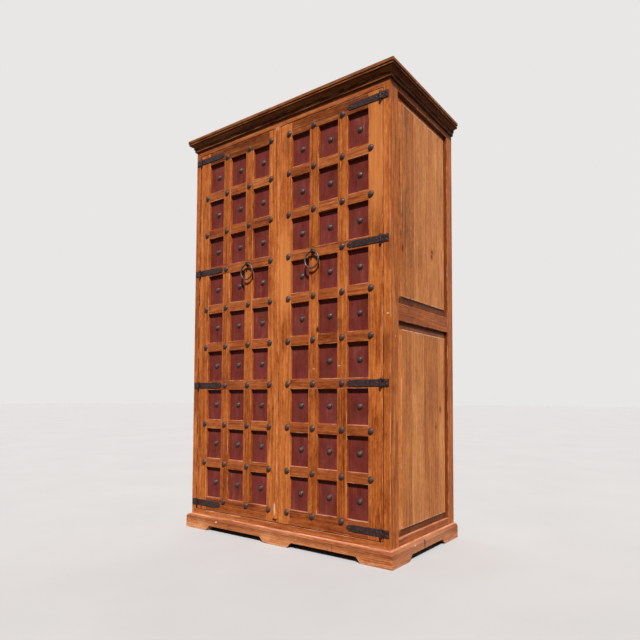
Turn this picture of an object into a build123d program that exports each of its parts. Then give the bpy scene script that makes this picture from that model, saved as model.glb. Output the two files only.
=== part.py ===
from build123d import *
import os
from math import cos, radians, sin

# Two-door trastero cabinet in pine: a post-and-rail carcass with raised side panels, a moulded
# cornice, a plinth with bracket feet, and two lattice doors with iron studs, strap hinges and
# ring pulls.
#
# Millimetres. +Z is up, the doors face -Y and +X is to the right of someone who faces them.
# The origin is on the floor, in the middle of the space that the cabinet takes up.

# ---- Carcass -------------------------------------------------------------------------------
BODY_WIDTH = 1220.0  # over the outer faces of the corner posts
BODY_DEPTH = 650.0  # from the face of the doors to the back of the back boards
CARCASS_HEIGHT = 2100.0  # from the floor to the underside of the top board
POST_THICKNESS = 35.0  # of the posts and rails of each side, along X
FRONT_POST_DEPTH = 70.0
BACK_POST_DEPTH = 65.0
RAIL_FOOT = 38.0  # height of the lowest rails above the floor
SIDE_BOTTOM_RAIL_HEIGHT = 66.0
SIDE_MID_RAIL_HEIGHT = 74.0
SIDE_MID_RAIL_FOOT = 1025.0  # height of its lower edge above the floor
SIDE_TOP_RAIL_HEIGHT = 73.0
FACE_THICKNESS = 35.0  # of the rails over and under the doors, along Y
FACE_BOTTOM_RAIL_HEIGHT = 60.0
FACE_TOP_RAIL_HEIGHT = 76.0
FACE_TENON_LENGTH = 20.0
FACE_TENON_THICKNESS = 10.0
FACE_TENON_SHOULDER = 8.0  # wood above and below each tenon

# ---- Frame-and-panel joinery, the same in the sides and in the doors --------------------------
GROOVE_SETBACK = 15.0  # from the outer face of a frame to its groove
PANEL_THICKNESS = 8.0  # of flat panels, of panel tongues and of stub tenons
GROOVE_DEPTH = 8.0
PANEL_PLAY = 1.0  # free space between a panel's edge and the bottom of its groove
TENON_PLAY = 0.5  # free space between a stub tenon and the bottom of its groove
FIELD_BEVEL = 34.0  # width of the sloping border of a raised side panel
BEVEL_RISE = 9.0
FIELD_STEP = 3.0  # the upright edge around the raised field

# ---- Inside -----------------------------------------------------------------------------------
BACK_BOARD_THICKNESS = 12.0
BACK_BOARD_COUNT = 8
BACK_BOARD_SEAM = 1.0
BACK_TONGUE = 4.0  # length and thickness of the tongues between back boards
BACK_REBATE_WIDTH = 11.0  # step in each back post that takes the back boards
BACK_RAIL_HEIGHT = 70.0
BACK_RAIL_THICKNESS = 22.0
FLOOR_THICKNESS = 20.0
FLOOR_LIP = 10.0  # the floor stands this far above the rail in front of it, as the doors' stop
SHELF_THICKNESS = 20.0
SHELF_COUNT = 3
SHELF_SETBACK = 20.0  # from the back of the doors
SHELF_PLAY = 1.0
CLEAT = 20.0  # the square section of the strips under the floor and the shelves
STOP_HEIGHT = 30.0
STOP_THICKNESS = 18.0
STOP_REACH = 10.0  # the stop strip hangs this far behind the tops of the doors
STOP_GAP = 1.0  # between the back of a closed door and its stops

# ---- Plinth -------------------------------------------------------------------------------------
PLINTH_HEIGHT = 72.0
PLINTH_THICKNESS = 20.0
PLINTH_ROUND = 17.0  # radius of the rounded upper edge
PLINTH_STEP = 2.0  # small upright step above the rounded edge
FRONT_FOOT_WIDTH = 128.0  # each outer foot, measured from the outside of the post
CENTRE_FOOT_WIDTH = 138.0
SIDE_FRONT_FOOT = 124.0
SIDE_BACK_FOOT = 152.0
CUTOUT_HEIGHT = 26.0
CUTOUT_SLOPE = 34.0  # length of each sloping end of a cut-out
CUTOUT_ROUND = 18.0
CENTRE_BLOCK_WIDTH = 80.0

# ---- Cornice ------------------------------------------------------------------------------------
TOP_THICKNESS = 16.0
TOP_OVERHANG = 36.0
TOP_ROUND = 6.0
CORNICE_HEIGHT = 46.0
CORNICE_OVERHANG = 33.0
CORNICE_FOOT_OUT = 9.0  # flat band at the bottom of the moulding
CORNICE_FOOT_HEIGHT = 16.0
CORNICE_FOOT_ROUND = 3.0
CORNICE_BEAD_RADIUS = 3.0
CORNICE_NOSE_RADIUS = 6.0

# ---- Doors --------------------------------------------------------------------------------------
DOOR_EDGE_GAP = 3.0  # above and below the doors
HINGE_EDGE_GAP = 2.5  # between a door and its post
MEETING_GAP = 3.4  # between the two doors
STILE_WIDTH = 70.0
MUNTIN_WIDTH = 52.0
DOOR_TOP_RAIL_HEIGHT = 66.0
DOOR_BOTTOM_RAIL_HEIGHT = 70.0
BAR_HEIGHT = 48.0  # of the two lock rails and the short cross bars
COLUMNS = 3
ROWS = 9
ROWS_PER_SECTION = 3  # a full-width rail follows every third row of panels
ASTRAGAL_WIDTH = 26.0
ASTRAGAL_THICKNESS = 7.0
ASTRAGAL_FOOT_GAP = 17.0  # the strip stops this far above the bottom of the door
ASTRAGAL_ROUND = 2.5

# ---- Ironwork -----------------------------------------------------------------------------------
STUD_RADIUS = 15.5
STUD_RISE = 10.0
STUD_INSET = 14.0  # from the inner edge of a stile or outer rail to the stud's centre
STUD_SHANK_LENGTH = 18.0
PANEL_STUD_RADIUS = 13.5
PANEL_STUD_RISE = 8.0
PANEL_STUD_FLANGE_RADIUS = 16.5
PANEL_STUD_FLANGE = 1.5
PANEL_STUD_SHANK_LENGTH = 6.0
SHANK_WIDTH = 4.0  # square shanks of the studs
MISSING_STUD = (6, 1)  # row and column, from the top and from the middle, on the right door
PIN_INSET = 8.0  # from the inner face of the post to the hinge pin, which stands before the door
STRAP_REACH = 182.0  # from the inner face of the post to the tip
STRAP_HEIGHT = 31.0
STRAP_THICKNESS = 3.0
STRAP_HEAD_LENGTH = 25.0  # of the spear-shaped head, from its tip to the neck behind it
STRAP_POINT_LENGTH = 17.0  # from the tip to the widest place of the head
STRAP_NECK_HEIGHT = 24.0
STRAP_NECK_LENGTH = 9.0  # from the neck to where the strap has its full height again
LEAF_REACH = 28.0  # from the inner face of the post to the outer end of the leaf
BARREL_RADIUS = 6.5
BARREL_LIFT = 0.5  # clear space between the barrel and the wood behind it
BARREL_GAP = 0.3  # between one knuckle and the next
STRAP_KNUCKLE_HEIGHT = 12.0
PLATE_GAP = 0.5  # from a full-height plate to the other plate's knuckles
PIN_RADIUS = 2.5
PIN_CLEARANCE = 0.05
FINIAL_RADIUS = 4.2
DROP_LENGTH = 11.0  # of the turned drop under each hinge pin
DROP_TIP_RADIUS = 1.5
NAIL_RADIUS = 5.0
NAIL_RISE = 2.2
NAIL_SHANK_WIDTH = 2.6
NAIL_LENGTH = 16.0
STRAP_NAIL_INSET = 30.0  # from the hinge edge of the door to the nearer nail of a strap
STRAP_TIP_NAIL_INSET = 17.0  # from the tip of the strap to the nail in its head
LEAF_NAIL_SPREAD = 8.0  # half the distance between the two nails of a leaf
LEAF_NAIL_INSET = 11.0  # from the outer end of a leaf to its nails
SHANK_CLEARANCE = 0.1  # around each square shank
EYE_HOLE_RADIUS = 5.0
EYE_BAR_RADIUS = 3.0
EYE_STANDOFF = 14.0  # from the face of the door to the centre of the eye
EYE_PLATE_RADIUS = 12.0
EYE_PLATE_THICKNESS = 1.5
EYE_SHANK_WIDTH = 4.5
EYE_SHANK_LENGTH = 20.0
RING_RADIUS = 39.0  # to the middle of the ring's bar
RING_BAR_RADIUS = 4.5

# ---- Places that follow from the sizes above ----------------------------------------------------
HALF_WIDTH = BODY_WIDTH / 2
FRONT = (TOP_OVERHANG - BODY_DEPTH) / 2  # the face of the doors and the front posts
BACK = FRONT + BODY_DEPTH
POST_INNER = HALF_WIDTH - POST_THICKNESS
BACK_BOARD_FACE = BACK - BACK_BOARD_THICKNESS
FACE_BOTTOM_RAIL_TOP = RAIL_FOOT + FACE_BOTTOM_RAIL_HEIGHT
FACE_TOP_RAIL_FOOT = CARCASS_HEIGHT - FACE_TOP_RAIL_HEIGHT
FLOOR_TOP = FACE_BOTTOM_RAIL_TOP + FLOOR_LIP
DOOR_THICKNESS = FACE_THICKNESS - STOP_GAP
DOOR_BOTTOM = FACE_BOTTOM_RAIL_TOP + DOOR_EDGE_GAP
DOOR_TOP = FACE_TOP_RAIL_FOOT - DOOR_EDGE_GAP
DOOR_INNER = MEETING_GAP / 2
DOOR_OUTER = POST_INNER - HINGE_EDGE_GAP
FIELD_LEFT = DOOR_INNER + STILE_WIDTH  # inner edge of the meeting stile
FIELD_RIGHT = DOOR_OUTER - STILE_WIDTH  # inner edge of the hinge stile
FIELD_BOTTOM = DOOR_BOTTOM + DOOR_BOTTOM_RAIL_HEIGHT
FIELD_TOP = DOOR_TOP - DOOR_TOP_RAIL_HEIGHT
OPENING_WIDTH = (FIELD_RIGHT - FIELD_LEFT - (COLUMNS - 1) * MUNTIN_WIDTH) / COLUMNS
OPENING_HEIGHT = (FIELD_TOP - FIELD_BOTTOM - (ROWS - 1) * BAR_HEIGHT) / ROWS
PIN_X = POST_INNER - PIN_INSET
PIN_Y = FRONT - BARREL_RADIUS - BARREL_LIFT
EYE_Y = FRONT - EYE_STANDOFF
MITRE_RIGHT = Plane(origin=(HALF_WIDTH, FRONT, 0), z_dir=(1, 1, 0))
MITRE_LEFT = Plane(origin=(-HALF_WIDTH, FRONT, 0), z_dir=(-1, 1, 0))


# ---- Helpers ------------------------------------------------------------------------------------
def block(low, high):
    """A box between two opposite corners."""
    size = [b - a for a, b in zip(low, high)]
    middle = [(a + b) / 2 for a, b in zip(low, high)]
    return Pos(*middle) * Box(*size)


def mirrored(solids):
    """The same pieces on the other side of the cabinet's middle plane."""
    return [mirror(solid, about=Plane.YZ) for solid in solids]


def on_right_side(piece):
    """Turn a piece drawn facing -Y, starting at x = 0, on to the cabinet's right side."""
    return Pos(HALF_WIDTH, FRONT, 0) * Rot(0, 0, 90) * piece


def save(name, solids):
    export_step(Compound(children=list(solids)), f"parts/{name}.step")


# ---- Frame-and-panel pieces ---------------------------------------------------------------------
# They are drawn facing -Y, with their outer face at y = 0.
def frame_board(left, right, bottom, top, thickness, grooves=(), tenons=()):
    """A stile, rail or bar, grooved along some edges and with stub tenons on some ends."""
    board = block((left, 0, bottom), (right, thickness, top))
    groove_front = GROOVE_SETBACK
    groove_back = GROOVE_SETBACK + PANEL_THICKNESS
    tenon_length = GROOVE_DEPTH - TENON_PLAY
    inner_left = left + GROOVE_DEPTH if "left" in grooves else left
    inner_right = right - GROOVE_DEPTH if "right" in grooves else right
    inner_bottom = bottom + GROOVE_DEPTH if "bottom" in grooves else bottom
    inner_top = top - GROOVE_DEPTH if "top" in grooves else top
    if "left" in grooves:
        board -= block((left, groove_front, bottom), (inner_left, groove_back, top))
    if "right" in grooves:
        board -= block((inner_right, groove_front, bottom), (right, groove_back, top))
    if "bottom" in grooves:
        board -= block((left, groove_front, bottom), (right, groove_back, inner_bottom))
    if "top" in grooves:
        board -= block((left, groove_front, inner_top), (right, groove_back, top))
    if "ends" in tenons:
        low = (left - tenon_length, groove_front, inner_bottom)
        board += block(low, (right + tenon_length, groove_back, inner_top))
    if "caps" in tenons:
        low = (inner_left, groove_front, bottom - tenon_length)
        board += block(low, (inner_right, groove_back, top + tenon_length))
    return board


def flat_panel(left, right, bottom, top):
    """A flat panel that fills an opening and reaches into the grooves around it."""
    reach = GROOVE_DEPTH - PANEL_PLAY
    low = (left - reach, GROOVE_SETBACK, bottom - reach)
    high = (right + reach, GROOVE_SETBACK + PANEL_THICKNESS, top + reach)
    return block(low, high)


def raised_panel(left, right, bottom, top):
    """A flat panel with a raised field inside a sloping border."""
    middle_x = (left + right) / 2
    middle_z = (bottom + top) / 2
    width = right - left
    height = top - bottom
    field_width = width - 2 * FIELD_BEVEL
    field_height = height - 2 * FIELD_BEVEL
    border = Plane(origin=(middle_x, GROOVE_SETBACK, middle_z), x_dir=(1, 0, 0), z_dir=(0, -1, 0))
    field_edge = border.offset(BEVEL_RISE) * Rectangle(field_width, field_height)
    slope = loft([border * Rectangle(width, height), field_edge])
    field = extrude(field_edge, amount=FIELD_STEP)
    return flat_panel(left, right, bottom, top) + slope + field


# ---- Carcass ------------------------------------------------------------------------------------
def face_tenon(bottom, height, growth=0.0):
    """The tenon of a face rail in a right-hand post, or its mortise when growth is set."""
    middle = FRONT + FACE_THICKNESS / 2
    half = FACE_TENON_THICKNESS / 2 + growth
    low = (POST_INNER, middle - half, bottom + FACE_TENON_SHOULDER - growth)
    top = bottom + height - FACE_TENON_SHOULDER + growth
    return block(low, (POST_INNER + FACE_TENON_LENGTH + growth, middle + half, top))


def front_post():
    post = on_right_side(frame_board(0, FRONT_POST_DEPTH, 0, CARCASS_HEIGHT, POST_THICKNESS, ("right",)))
    post -= face_tenon(RAIL_FOOT, FACE_BOTTOM_RAIL_HEIGHT, SHANK_CLEARANCE)
    post -= face_tenon(FACE_TOP_RAIL_FOOT, FACE_TOP_RAIL_HEIGHT, SHANK_CLEARANCE)
    for z in hinge_levels():
        for nail_x, nail_z in leaf_nail_places(z):
            post -= shank(nail_x, nail_z, NAIL_SHANK_WIDTH, NAIL_LENGTH, SHANK_CLEARANCE)
    return post


def back_post():
    start = BODY_DEPTH - BACK_POST_DEPTH
    post = on_right_side(frame_board(start, BODY_DEPTH, 0, CARCASS_HEIGHT, POST_THICKNESS, ("left",)))
    rebate = block((POST_INNER, BACK_BOARD_FACE, 0), (POST_INNER + BACK_REBATE_WIDTH, BACK, CARCASS_HEIGHT))
    return post - rebate


def side_rails():
    left = FRONT_POST_DEPTH
    right = BODY_DEPTH - BACK_POST_DEPTH
    levels = [
        (RAIL_FOOT, RAIL_FOOT + SIDE_BOTTOM_RAIL_HEIGHT, ("top",)),
        (SIDE_MID_RAIL_FOOT, SIDE_MID_RAIL_FOOT + SIDE_MID_RAIL_HEIGHT, ("top", "bottom")),
        (CARCASS_HEIGHT - SIDE_TOP_RAIL_HEIGHT, CARCASS_HEIGHT, ("bottom",)),
    ]
    rails = [frame_board(left, right, low, high, POST_THICKNESS, cut, ("ends",)) for low, high, cut in levels]
    return [on_right_side(rail) for rail in rails]


def side_panels():
    left = FRONT_POST_DEPTH
    right = BODY_DEPTH - BACK_POST_DEPTH
    lower = raised_panel(left, right, RAIL_FOOT + SIDE_BOTTOM_RAIL_HEIGHT, SIDE_MID_RAIL_FOOT)
    upper_bottom = SIDE_MID_RAIL_FOOT + SIDE_MID_RAIL_HEIGHT
    upper = raised_panel(left, right, upper_bottom, CARCASS_HEIGHT - SIDE_TOP_RAIL_HEIGHT)
    return [on_right_side(lower), on_right_side(upper)]


def face_rail(bottom, height):
    rail = block((-POST_INNER, FRONT, bottom), (POST_INNER, FRONT + FACE_THICKNESS, bottom + height))
    tenon = face_tenon(bottom, height)
    return rail + tenon + mirror(tenon, about=Plane.YZ)


def back_rails():
    front = BACK_BOARD_FACE - BACK_RAIL_THICKNESS
    feet = (RAIL_FOOT, SIDE_MID_RAIL_FOOT, CARCASS_HEIGHT - BACK_RAIL_HEIGHT)
    return [
        block((-POST_INNER, front, foot), (POST_INNER, BACK_BOARD_FACE, foot + BACK_RAIL_HEIGHT))
        for foot in feet
    ]


def back_boards():
    """Upright boards, tongued and grooved into each other, in the rebates of the back posts."""
    half = POST_INNER + BACK_REBATE_WIDTH
    pitch = 2 * half / BACK_BOARD_COUNT
    tongue_front = (BACK_BOARD_FACE + BACK - BACK_TONGUE) / 2
    tongue_back = tongue_front + BACK_TONGUE
    groove_reach = BACK_TONGUE + BACK_BOARD_SEAM
    boards = []
    for index in range(BACK_BOARD_COUNT):
        left = -half + index * pitch
        right = left + pitch - BACK_BOARD_SEAM
        if index == BACK_BOARD_COUNT - 1:
            right = half
        board = block((left, BACK_BOARD_FACE, RAIL_FOOT), (right, BACK, CARCASS_HEIGHT))
        tongue = block((right, tongue_front, RAIL_FOOT), (right + BACK_TONGUE, tongue_back, CARCASS_HEIGHT))
        groove = block((left, tongue_front, RAIL_FOOT), (left + groove_reach, tongue_back, CARCASS_HEIGHT))
        if index < BACK_BOARD_COUNT - 1:
            board += tongue
        if index > 0:
            board -= groove
        boards.append(board)
    return boards


def floor_board():
    back = BACK_BOARD_FACE - BACK_RAIL_THICKNESS
    half = POST_INNER - SHELF_PLAY
    return block((-half, FRONT + FACE_THICKNESS, FLOOR_TOP - FLOOR_THICKNESS), (half, back, FLOOR_TOP))


def shelf_feet():
    """Heights of the undersides of the shelves, which share the inside of the cabinet equally."""
    pitch = (CARCASS_HEIGHT - FLOOR_TOP) / (SHELF_COUNT + 1)
    return [FLOOR_TOP + number * pitch for number in range(1, SHELF_COUNT + 1)]


def shelves():
    front = FRONT + FACE_THICKNESS + SHELF_SETBACK
    back = BACK_BOARD_FACE - BACK_RAIL_THICKNESS
    half = POST_INNER - SHELF_PLAY
    return [block((-half, front, foot), (half, back, foot + SHELF_THICKNESS)) for foot in shelf_feet()]


def cleats():
    """Strips on the posts and side rails that carry the right-hand ends of floor and shelves."""
    front = FRONT + FACE_THICKNESS
    back = BACK_BOARD_FACE - BACK_RAIL_THICKNESS
    tops = [FLOOR_TOP - FLOOR_THICKNESS] + shelf_feet()
    return [block((POST_INNER - CLEAT, front, top - CLEAT), (POST_INNER, back, top)) for top in tops]


def door_stop():
    front = FRONT + FACE_THICKNESS
    foot = DOOR_TOP - STOP_REACH
    return block((-POST_INNER, front, foot), (POST_INNER, front + STOP_THICKNESS, foot + STOP_HEIGHT))


# ---- Cornice and plinth ---------------------------------------------------------------------------
def moulding(edges, left, right):
    """A straight moulding along X, from its section drawn as (outward, up)."""
    start = Plane(origin=(left, 0, 0), x_dir=(0, -1, 0), z_dir=(-1, 0, 0))
    return extrude(start * make_face(edges), amount=left - right)


def quarter_arc(start, end, centre, angle):
    """A quarter turn from start to end around a centre, half-way at the given angle."""
    reach_x = max(abs(start[0] - centre[0]), abs(end[0] - centre[0]))
    reach_z = max(abs(start[1] - centre[1]), abs(end[1] - centre[1]))
    half_way = (centre[0] + reach_x * cos(radians(angle)), centre[1] + reach_z * sin(radians(angle)))
    return ThreePointArc(start, half_way, end)


def cornice_section():
    bottom = CARCASS_HEIGHT - CORNICE_HEIGHT
    foot_round = (CORNICE_FOOT_OUT - CORNICE_FOOT_ROUND, bottom)
    foot_low = (CORNICE_FOOT_OUT, bottom + CORNICE_FOOT_ROUND)
    foot_high = (CORNICE_FOOT_OUT, bottom + CORNICE_FOOT_HEIGHT)
    bead_x = CORNICE_FOOT_OUT + CORNICE_BEAD_RADIUS
    bead_low = (bead_x, foot_high[1])
    bead_high = (bead_x, foot_high[1] + 2 * CORNICE_BEAD_RADIUS)
    bead_tip = (bead_x + CORNICE_BEAD_RADIUS, foot_high[1] + CORNICE_BEAD_RADIUS)
    nose_x = CORNICE_OVERHANG - CORNICE_NOSE_RADIUS
    nose_low = (nose_x, CARCASS_HEIGHT - 2 * CORNICE_NOSE_RADIUS)
    nose_tip = (CORNICE_OVERHANG, CARCASS_HEIGHT - CORNICE_NOSE_RADIUS)
    nose_high = (nose_x, CARCASS_HEIGHT)
    return [
        Line((0, bottom), foot_round),
        quarter_arc(foot_round, foot_low, (foot_round[0], foot_low[1]), -45),
        Line(foot_low, foot_high),
        Line(foot_high, bead_low),
        ThreePointArc(bead_low, bead_tip, bead_high),
        quarter_arc(bead_high, nose_low, (nose_low[0], bead_high[1]), 135),
        ThreePointArc(nose_low, nose_tip, nose_high),
        Line(nose_high, (0, CARCASS_HEIGHT)),
        Line((0, CARCASS_HEIGHT), (0, bottom)),
    ]


def plinth_section():
    round_x = PLINTH_THICKNESS - PLINTH_ROUND
    step_foot = PLINTH_HEIGHT - PLINTH_STEP
    round_low = (PLINTH_THICKNESS, step_foot - PLINTH_ROUND)
    round_high = (round_x, step_foot)
    return [
        Line((0, 0), (PLINTH_THICKNESS, 0)),
        Line((PLINTH_THICKNESS, 0), round_low),
        quarter_arc(round_low, round_high, (round_x, round_low[1]), 45),
        Line(round_high, (round_x, PLINTH_HEIGHT)),
        Line((round_x, PLINTH_HEIGHT), (0, PLINTH_HEIGHT)),
        Line((0, PLINTH_HEIGHT), (0, 0)),
    ]


def front_length(edges, overhang):
    """A moulding across the front, mitred at both ends."""
    reach = HALF_WIDTH + overhang
    length = Pos(0, FRONT, 0) * moulding(edges, -reach, reach)
    length = split(length, bisect_by=MITRE_RIGHT, keep=Keep.BOTTOM)
    return split(length, bisect_by=MITRE_LEFT, keep=Keep.BOTTOM)


def side_length(edges, overhang):
    """A moulding along the right side, mitred at the front and square at the back."""
    length = on_right_side(moulding(edges, -overhang, BODY_DEPTH))
    return split(length, bisect_by=MITRE_RIGHT, keep=Keep.TOP)


def cutout(start, end):
    """The space under a plinth board between two feet, drawn along X about y = 0."""
    slope_start = (start + CUTOUT_SLOPE, CUTOUT_HEIGHT)
    slope_end = (end - CUTOUT_SLOPE, CUTOUT_HEIGHT)
    shape = make_face(Polyline((start, 0), slope_start, slope_end, (end, 0), close=True))
    shape = fillet(shape.vertices().group_by(Axis.Y)[-1], CUTOUT_ROUND)
    return extrude(Plane.XZ * shape, amount=PLINTH_THICKNESS, both=True)


def plinth_front():
    board = front_length(plinth_section(), PLINTH_THICKNESS)
    inner = CENTRE_FOOT_WIDTH / 2
    gap = Pos(0, FRONT, 0) * cutout(inner, HALF_WIDTH - FRONT_FOOT_WIDTH)
    return board - gap - mirror(gap, about=Plane.YZ)


def plinth_side():
    board = side_length(plinth_section(), PLINTH_THICKNESS)
    return board - on_right_side(cutout(SIDE_FRONT_FOOT, BODY_DEPTH - SIDE_BACK_FOOT))


def plinth_back():
    """A plain board between the back posts, flush with the back boards that it carries."""
    return block((-POST_INNER, BACK_BOARD_FACE, 0), (POST_INNER, BACK, RAIL_FOOT))


def centre_block():
    """A block behind the middle foot, under the bottom rail."""
    half = CENTRE_BLOCK_WIDTH / 2
    return block((-half, FRONT, 0), (half, FRONT + FACE_THICKNESS, RAIL_FOOT))


def top_board():
    reach = HALF_WIDTH + TOP_OVERHANG
    low = (-reach, FRONT - TOP_OVERHANG, CARCASS_HEIGHT)
    board = block(low, (reach, BACK, CARCASS_HEIGHT + TOP_THICKNESS))
    rounded = board.faces().filter_by(Axis.Z).edges()
    rounded = rounded - rounded.group_by(Axis.Y)[-1]
    return fillet(rounded, TOP_ROUND)


# ---- Doors --------------------------------------------------------------------------------------
# The right-hand door. The left-hand one is its mirror image.
def column_left(column):
    """Inner edge of a column of panels, counted from the middle of the cabinet."""
    return FIELD_LEFT + column * (OPENING_WIDTH + MUNTIN_WIDTH)


def row_bottom(row):
    """Lower edge of a row of panels, counted from the top of the door."""
    return FIELD_TOP - OPENING_HEIGHT - row * (OPENING_HEIGHT + BAR_HEIGHT)


def bar_level(bar):
    """Height of the middle of the rail or bar under so many rows of panels."""
    if bar == 0:
        return (FIELD_TOP + DOOR_TOP) / 2
    if bar == ROWS:
        return (FIELD_BOTTOM + DOOR_BOTTOM) / 2
    return row_bottom(bar - 1) - BAR_HEIGHT / 2


def is_rail(bar):
    return bar % ROWS_PER_SECTION == 0


def hinge_levels():
    return [bar_level(bar) for bar in range(ROWS + 1) if is_rail(bar)]


def ring_level():
    return bar_level(ROWS_PER_SECTION)


def muntin_centre(number):
    """Middle of an upright bar between columns, numbered from 1 at the middle of the cabinet."""
    return column_left(number) - MUNTIN_WIDTH / 2


def stud_places():
    """Every crossing of the lattice but those under a strap or a ring pull."""
    columns = [FIELD_LEFT - STUD_INSET]
    columns += [muntin_centre(number) for number in range(1, COLUMNS)]
    columns.append(FIELD_RIGHT + STUD_INSET)
    levels = [FIELD_TOP + STUD_INSET]
    levels += [bar_level(bar) for bar in range(1, ROWS)]
    levels.append(FIELD_BOTTOM - STUD_INSET)
    places = []
    for bar, z in enumerate(levels):
        for column, x in enumerate(columns):
            under_strap = is_rail(bar) and column == COLUMNS
            under_ring = bar == ROWS_PER_SECTION and column == 1
            if not under_strap and not under_ring:
                places.append((x, z))
    return places


def panel_centres():
    """Row, column and centre of each panel, counted from the top and from the middle."""
    return [
        (row + 1, column + 1, column_left(column) + OPENING_WIDTH / 2, row_bottom(row) + OPENING_HEIGHT / 2)
        for row in range(ROWS)
        for column in range(COLUMNS)
    ]


def shank(x, z, width, length, growth=0.0):
    """A square shank driven into the front, or the hole for it when growth is set."""
    half = width / 2 + growth
    return block((x - half, FRONT, z - half), (x + half, FRONT + length + growth, z + half))


def drilled(board):
    """Cut into a board of the door the holes for the shanks that are driven into it."""
    box = board.bounding_box()
    holes = [(x, z, SHANK_WIDTH, STUD_SHANK_LENGTH) for x, z in stud_places()]
    holes += [(x, z, NAIL_SHANK_WIDTH, NAIL_LENGTH) for x, z in all_strap_nail_places()]
    holes.append((muntin_centre(1), ring_level(), EYE_SHANK_WIDTH, EYE_SHANK_LENGTH))
    for x, z, width, length in holes:
        if box.min.X < x < box.max.X and box.min.Z < z < box.max.Z:
            board -= shank(x, z, width, length, SHANK_CLEARANCE)
    return board


def door_board(left, right, bottom, top, grooves, tenons=()):
    board = frame_board(left, right, bottom, top, DOOR_THICKNESS, grooves, tenons)
    return drilled(Pos(0, FRONT, 0) * board)


def meeting_stile():
    return door_board(DOOR_INNER, FIELD_LEFT, DOOR_BOTTOM, DOOR_TOP, ("right",))


def hinge_stile():
    return door_board(FIELD_RIGHT, DOOR_OUTER, DOOR_BOTTOM, DOOR_TOP, ("left",))


def door_rail(bar):
    """One of the rails that cross the whole door between its stiles."""
    if bar == 0:
        return door_board(FIELD_LEFT, FIELD_RIGHT, FIELD_TOP, DOOR_TOP, ("bottom",), ("ends",))
    if bar == ROWS:
        return door_board(FIELD_LEFT, FIELD_RIGHT, DOOR_BOTTOM, FIELD_BOTTOM, ("top",), ("ends",))
    foot = bar_level(bar) - BAR_HEIGHT / 2
    return door_board(FIELD_LEFT, FIELD_RIGHT, foot, foot + BAR_HEIGHT, ("top", "bottom"), ("ends",))


def muntins():
    """The upright bars, one length between each two rails."""
    lengths = []
    for first_row in range(0, ROWS, ROWS_PER_SECTION):
        last_row = min(first_row + ROWS_PER_SECTION, ROWS) - 1
        bottom = row_bottom(last_row)
        top = row_bottom(first_row) + OPENING_HEIGHT
        for number in range(1, COLUMNS):
            left = column_left(number) - MUNTIN_WIDTH
            lengths.append(door_board(left, left + MUNTIN_WIDTH, bottom, top, ("left", "right"), ("caps",)))
    return lengths


def cross_bars():
    """The short bars between the uprights, wherever no rail crosses the door."""
    bars = []
    for bar in range(1, ROWS):
        if is_rail(bar):
            continue
        foot = bar_level(bar) - BAR_HEIGHT / 2
        for column in range(COLUMNS):
            left = column_left(column)
            right = left + OPENING_WIDTH
            bars.append(door_board(left, right, foot, foot + BAR_HEIGHT, ("top", "bottom"), ("ends",)))
    return bars


def door_panels(missing_stud=None):
    panels = []
    for row, column, x, z in panel_centres():
        half_width = OPENING_WIDTH / 2
        half_height = OPENING_HEIGHT / 2
        panel = flat_panel(x - half_width, x + half_width, z - half_height, z + half_height)
        panel = Pos(0, FRONT, 0) * panel
        if (row, column) != missing_stud:
            hole = shank(x, z, SHANK_WIDTH, PANEL_STUD_SHANK_LENGTH, SHANK_CLEARANCE)
            panel -= Pos(0, GROOVE_SETBACK, 0) * hole
        panels.append(panel)
    return panels


def astragal():
    """The strip on the meeting edge of the left-hand door."""
    right = -DOOR_INNER
    foot = DOOR_BOTTOM + ASTRAGAL_FOOT_GAP
    strip = block((right - ASTRAGAL_WIDTH, FRONT - ASTRAGAL_THICKNESS, foot), (right, FRONT, DOOR_TOP))
    front_edges = strip.faces().sort_by(Axis.Y)[0].edges()
    return fillet(front_edges, ASTRAGAL_ROUND)


# ---- Studs and nails ------------------------------------------------------------------------------
def dome(radius, rise):
    """A spherical cap on the plane y = 0 that rises towards -Y."""
    ball_radius = (radius**2 + rise**2) / (2 * rise)
    ball = Pos(0, ball_radius - rise, 0) * Sphere(ball_radius)
    return ball - block((-ball_radius, 0, -ball_radius), (ball_radius, 2 * ball_radius, ball_radius))


def lattice_studs():
    head = Pos(0, FRONT, 0) * dome(STUD_RADIUS, STUD_RISE)
    stud = head + shank(0, 0, SHANK_WIDTH, STUD_SHANK_LENGTH)
    return [Pos(x, 0, z) * stud for x, z in stud_places()]


def panel_studs(missing_stud=None):
    flange = Rot(90, 0, 0) * Cylinder(PANEL_STUD_FLANGE_RADIUS, PANEL_STUD_FLANGE)
    head = Pos(0, -PANEL_STUD_FLANGE / 2, 0) * flange
    head += Pos(0, -PANEL_STUD_FLANGE, 0) * dome(PANEL_STUD_RADIUS, PANEL_STUD_RISE)
    stud = Pos(0, FRONT, 0) * head + shank(0, 0, SHANK_WIDTH, PANEL_STUD_SHANK_LENGTH)
    return [
        Pos(x, GROOVE_SETBACK, z) * stud
        for row, column, x, z in panel_centres()
        if (row, column) != missing_stud
    ]


def nails(places):
    head = Pos(0, FRONT - STRAP_THICKNESS, 0) * dome(NAIL_RADIUS, NAIL_RISE)
    low = (-NAIL_SHANK_WIDTH / 2, FRONT - STRAP_THICKNESS, -NAIL_SHANK_WIDTH / 2)
    high = (NAIL_SHANK_WIDTH / 2, FRONT + NAIL_LENGTH, NAIL_SHANK_WIDTH / 2)
    nail = head + block(low, high)
    return [Pos(x, 0, z) * nail for x, z in places]


# ---- Hinges -----------------------------------------------------------------------------------------
def strap_nail_places(level):
    """Two nails through a strap: one in its head and one near the edge of the door."""
    tip = POST_INNER - STRAP_REACH
    return [(tip + STRAP_TIP_NAIL_INSET, level), (DOOR_OUTER - STRAP_NAIL_INSET, level)]


def all_strap_nail_places():
    return [place for level in hinge_levels() for place in strap_nail_places(level)]


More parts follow.
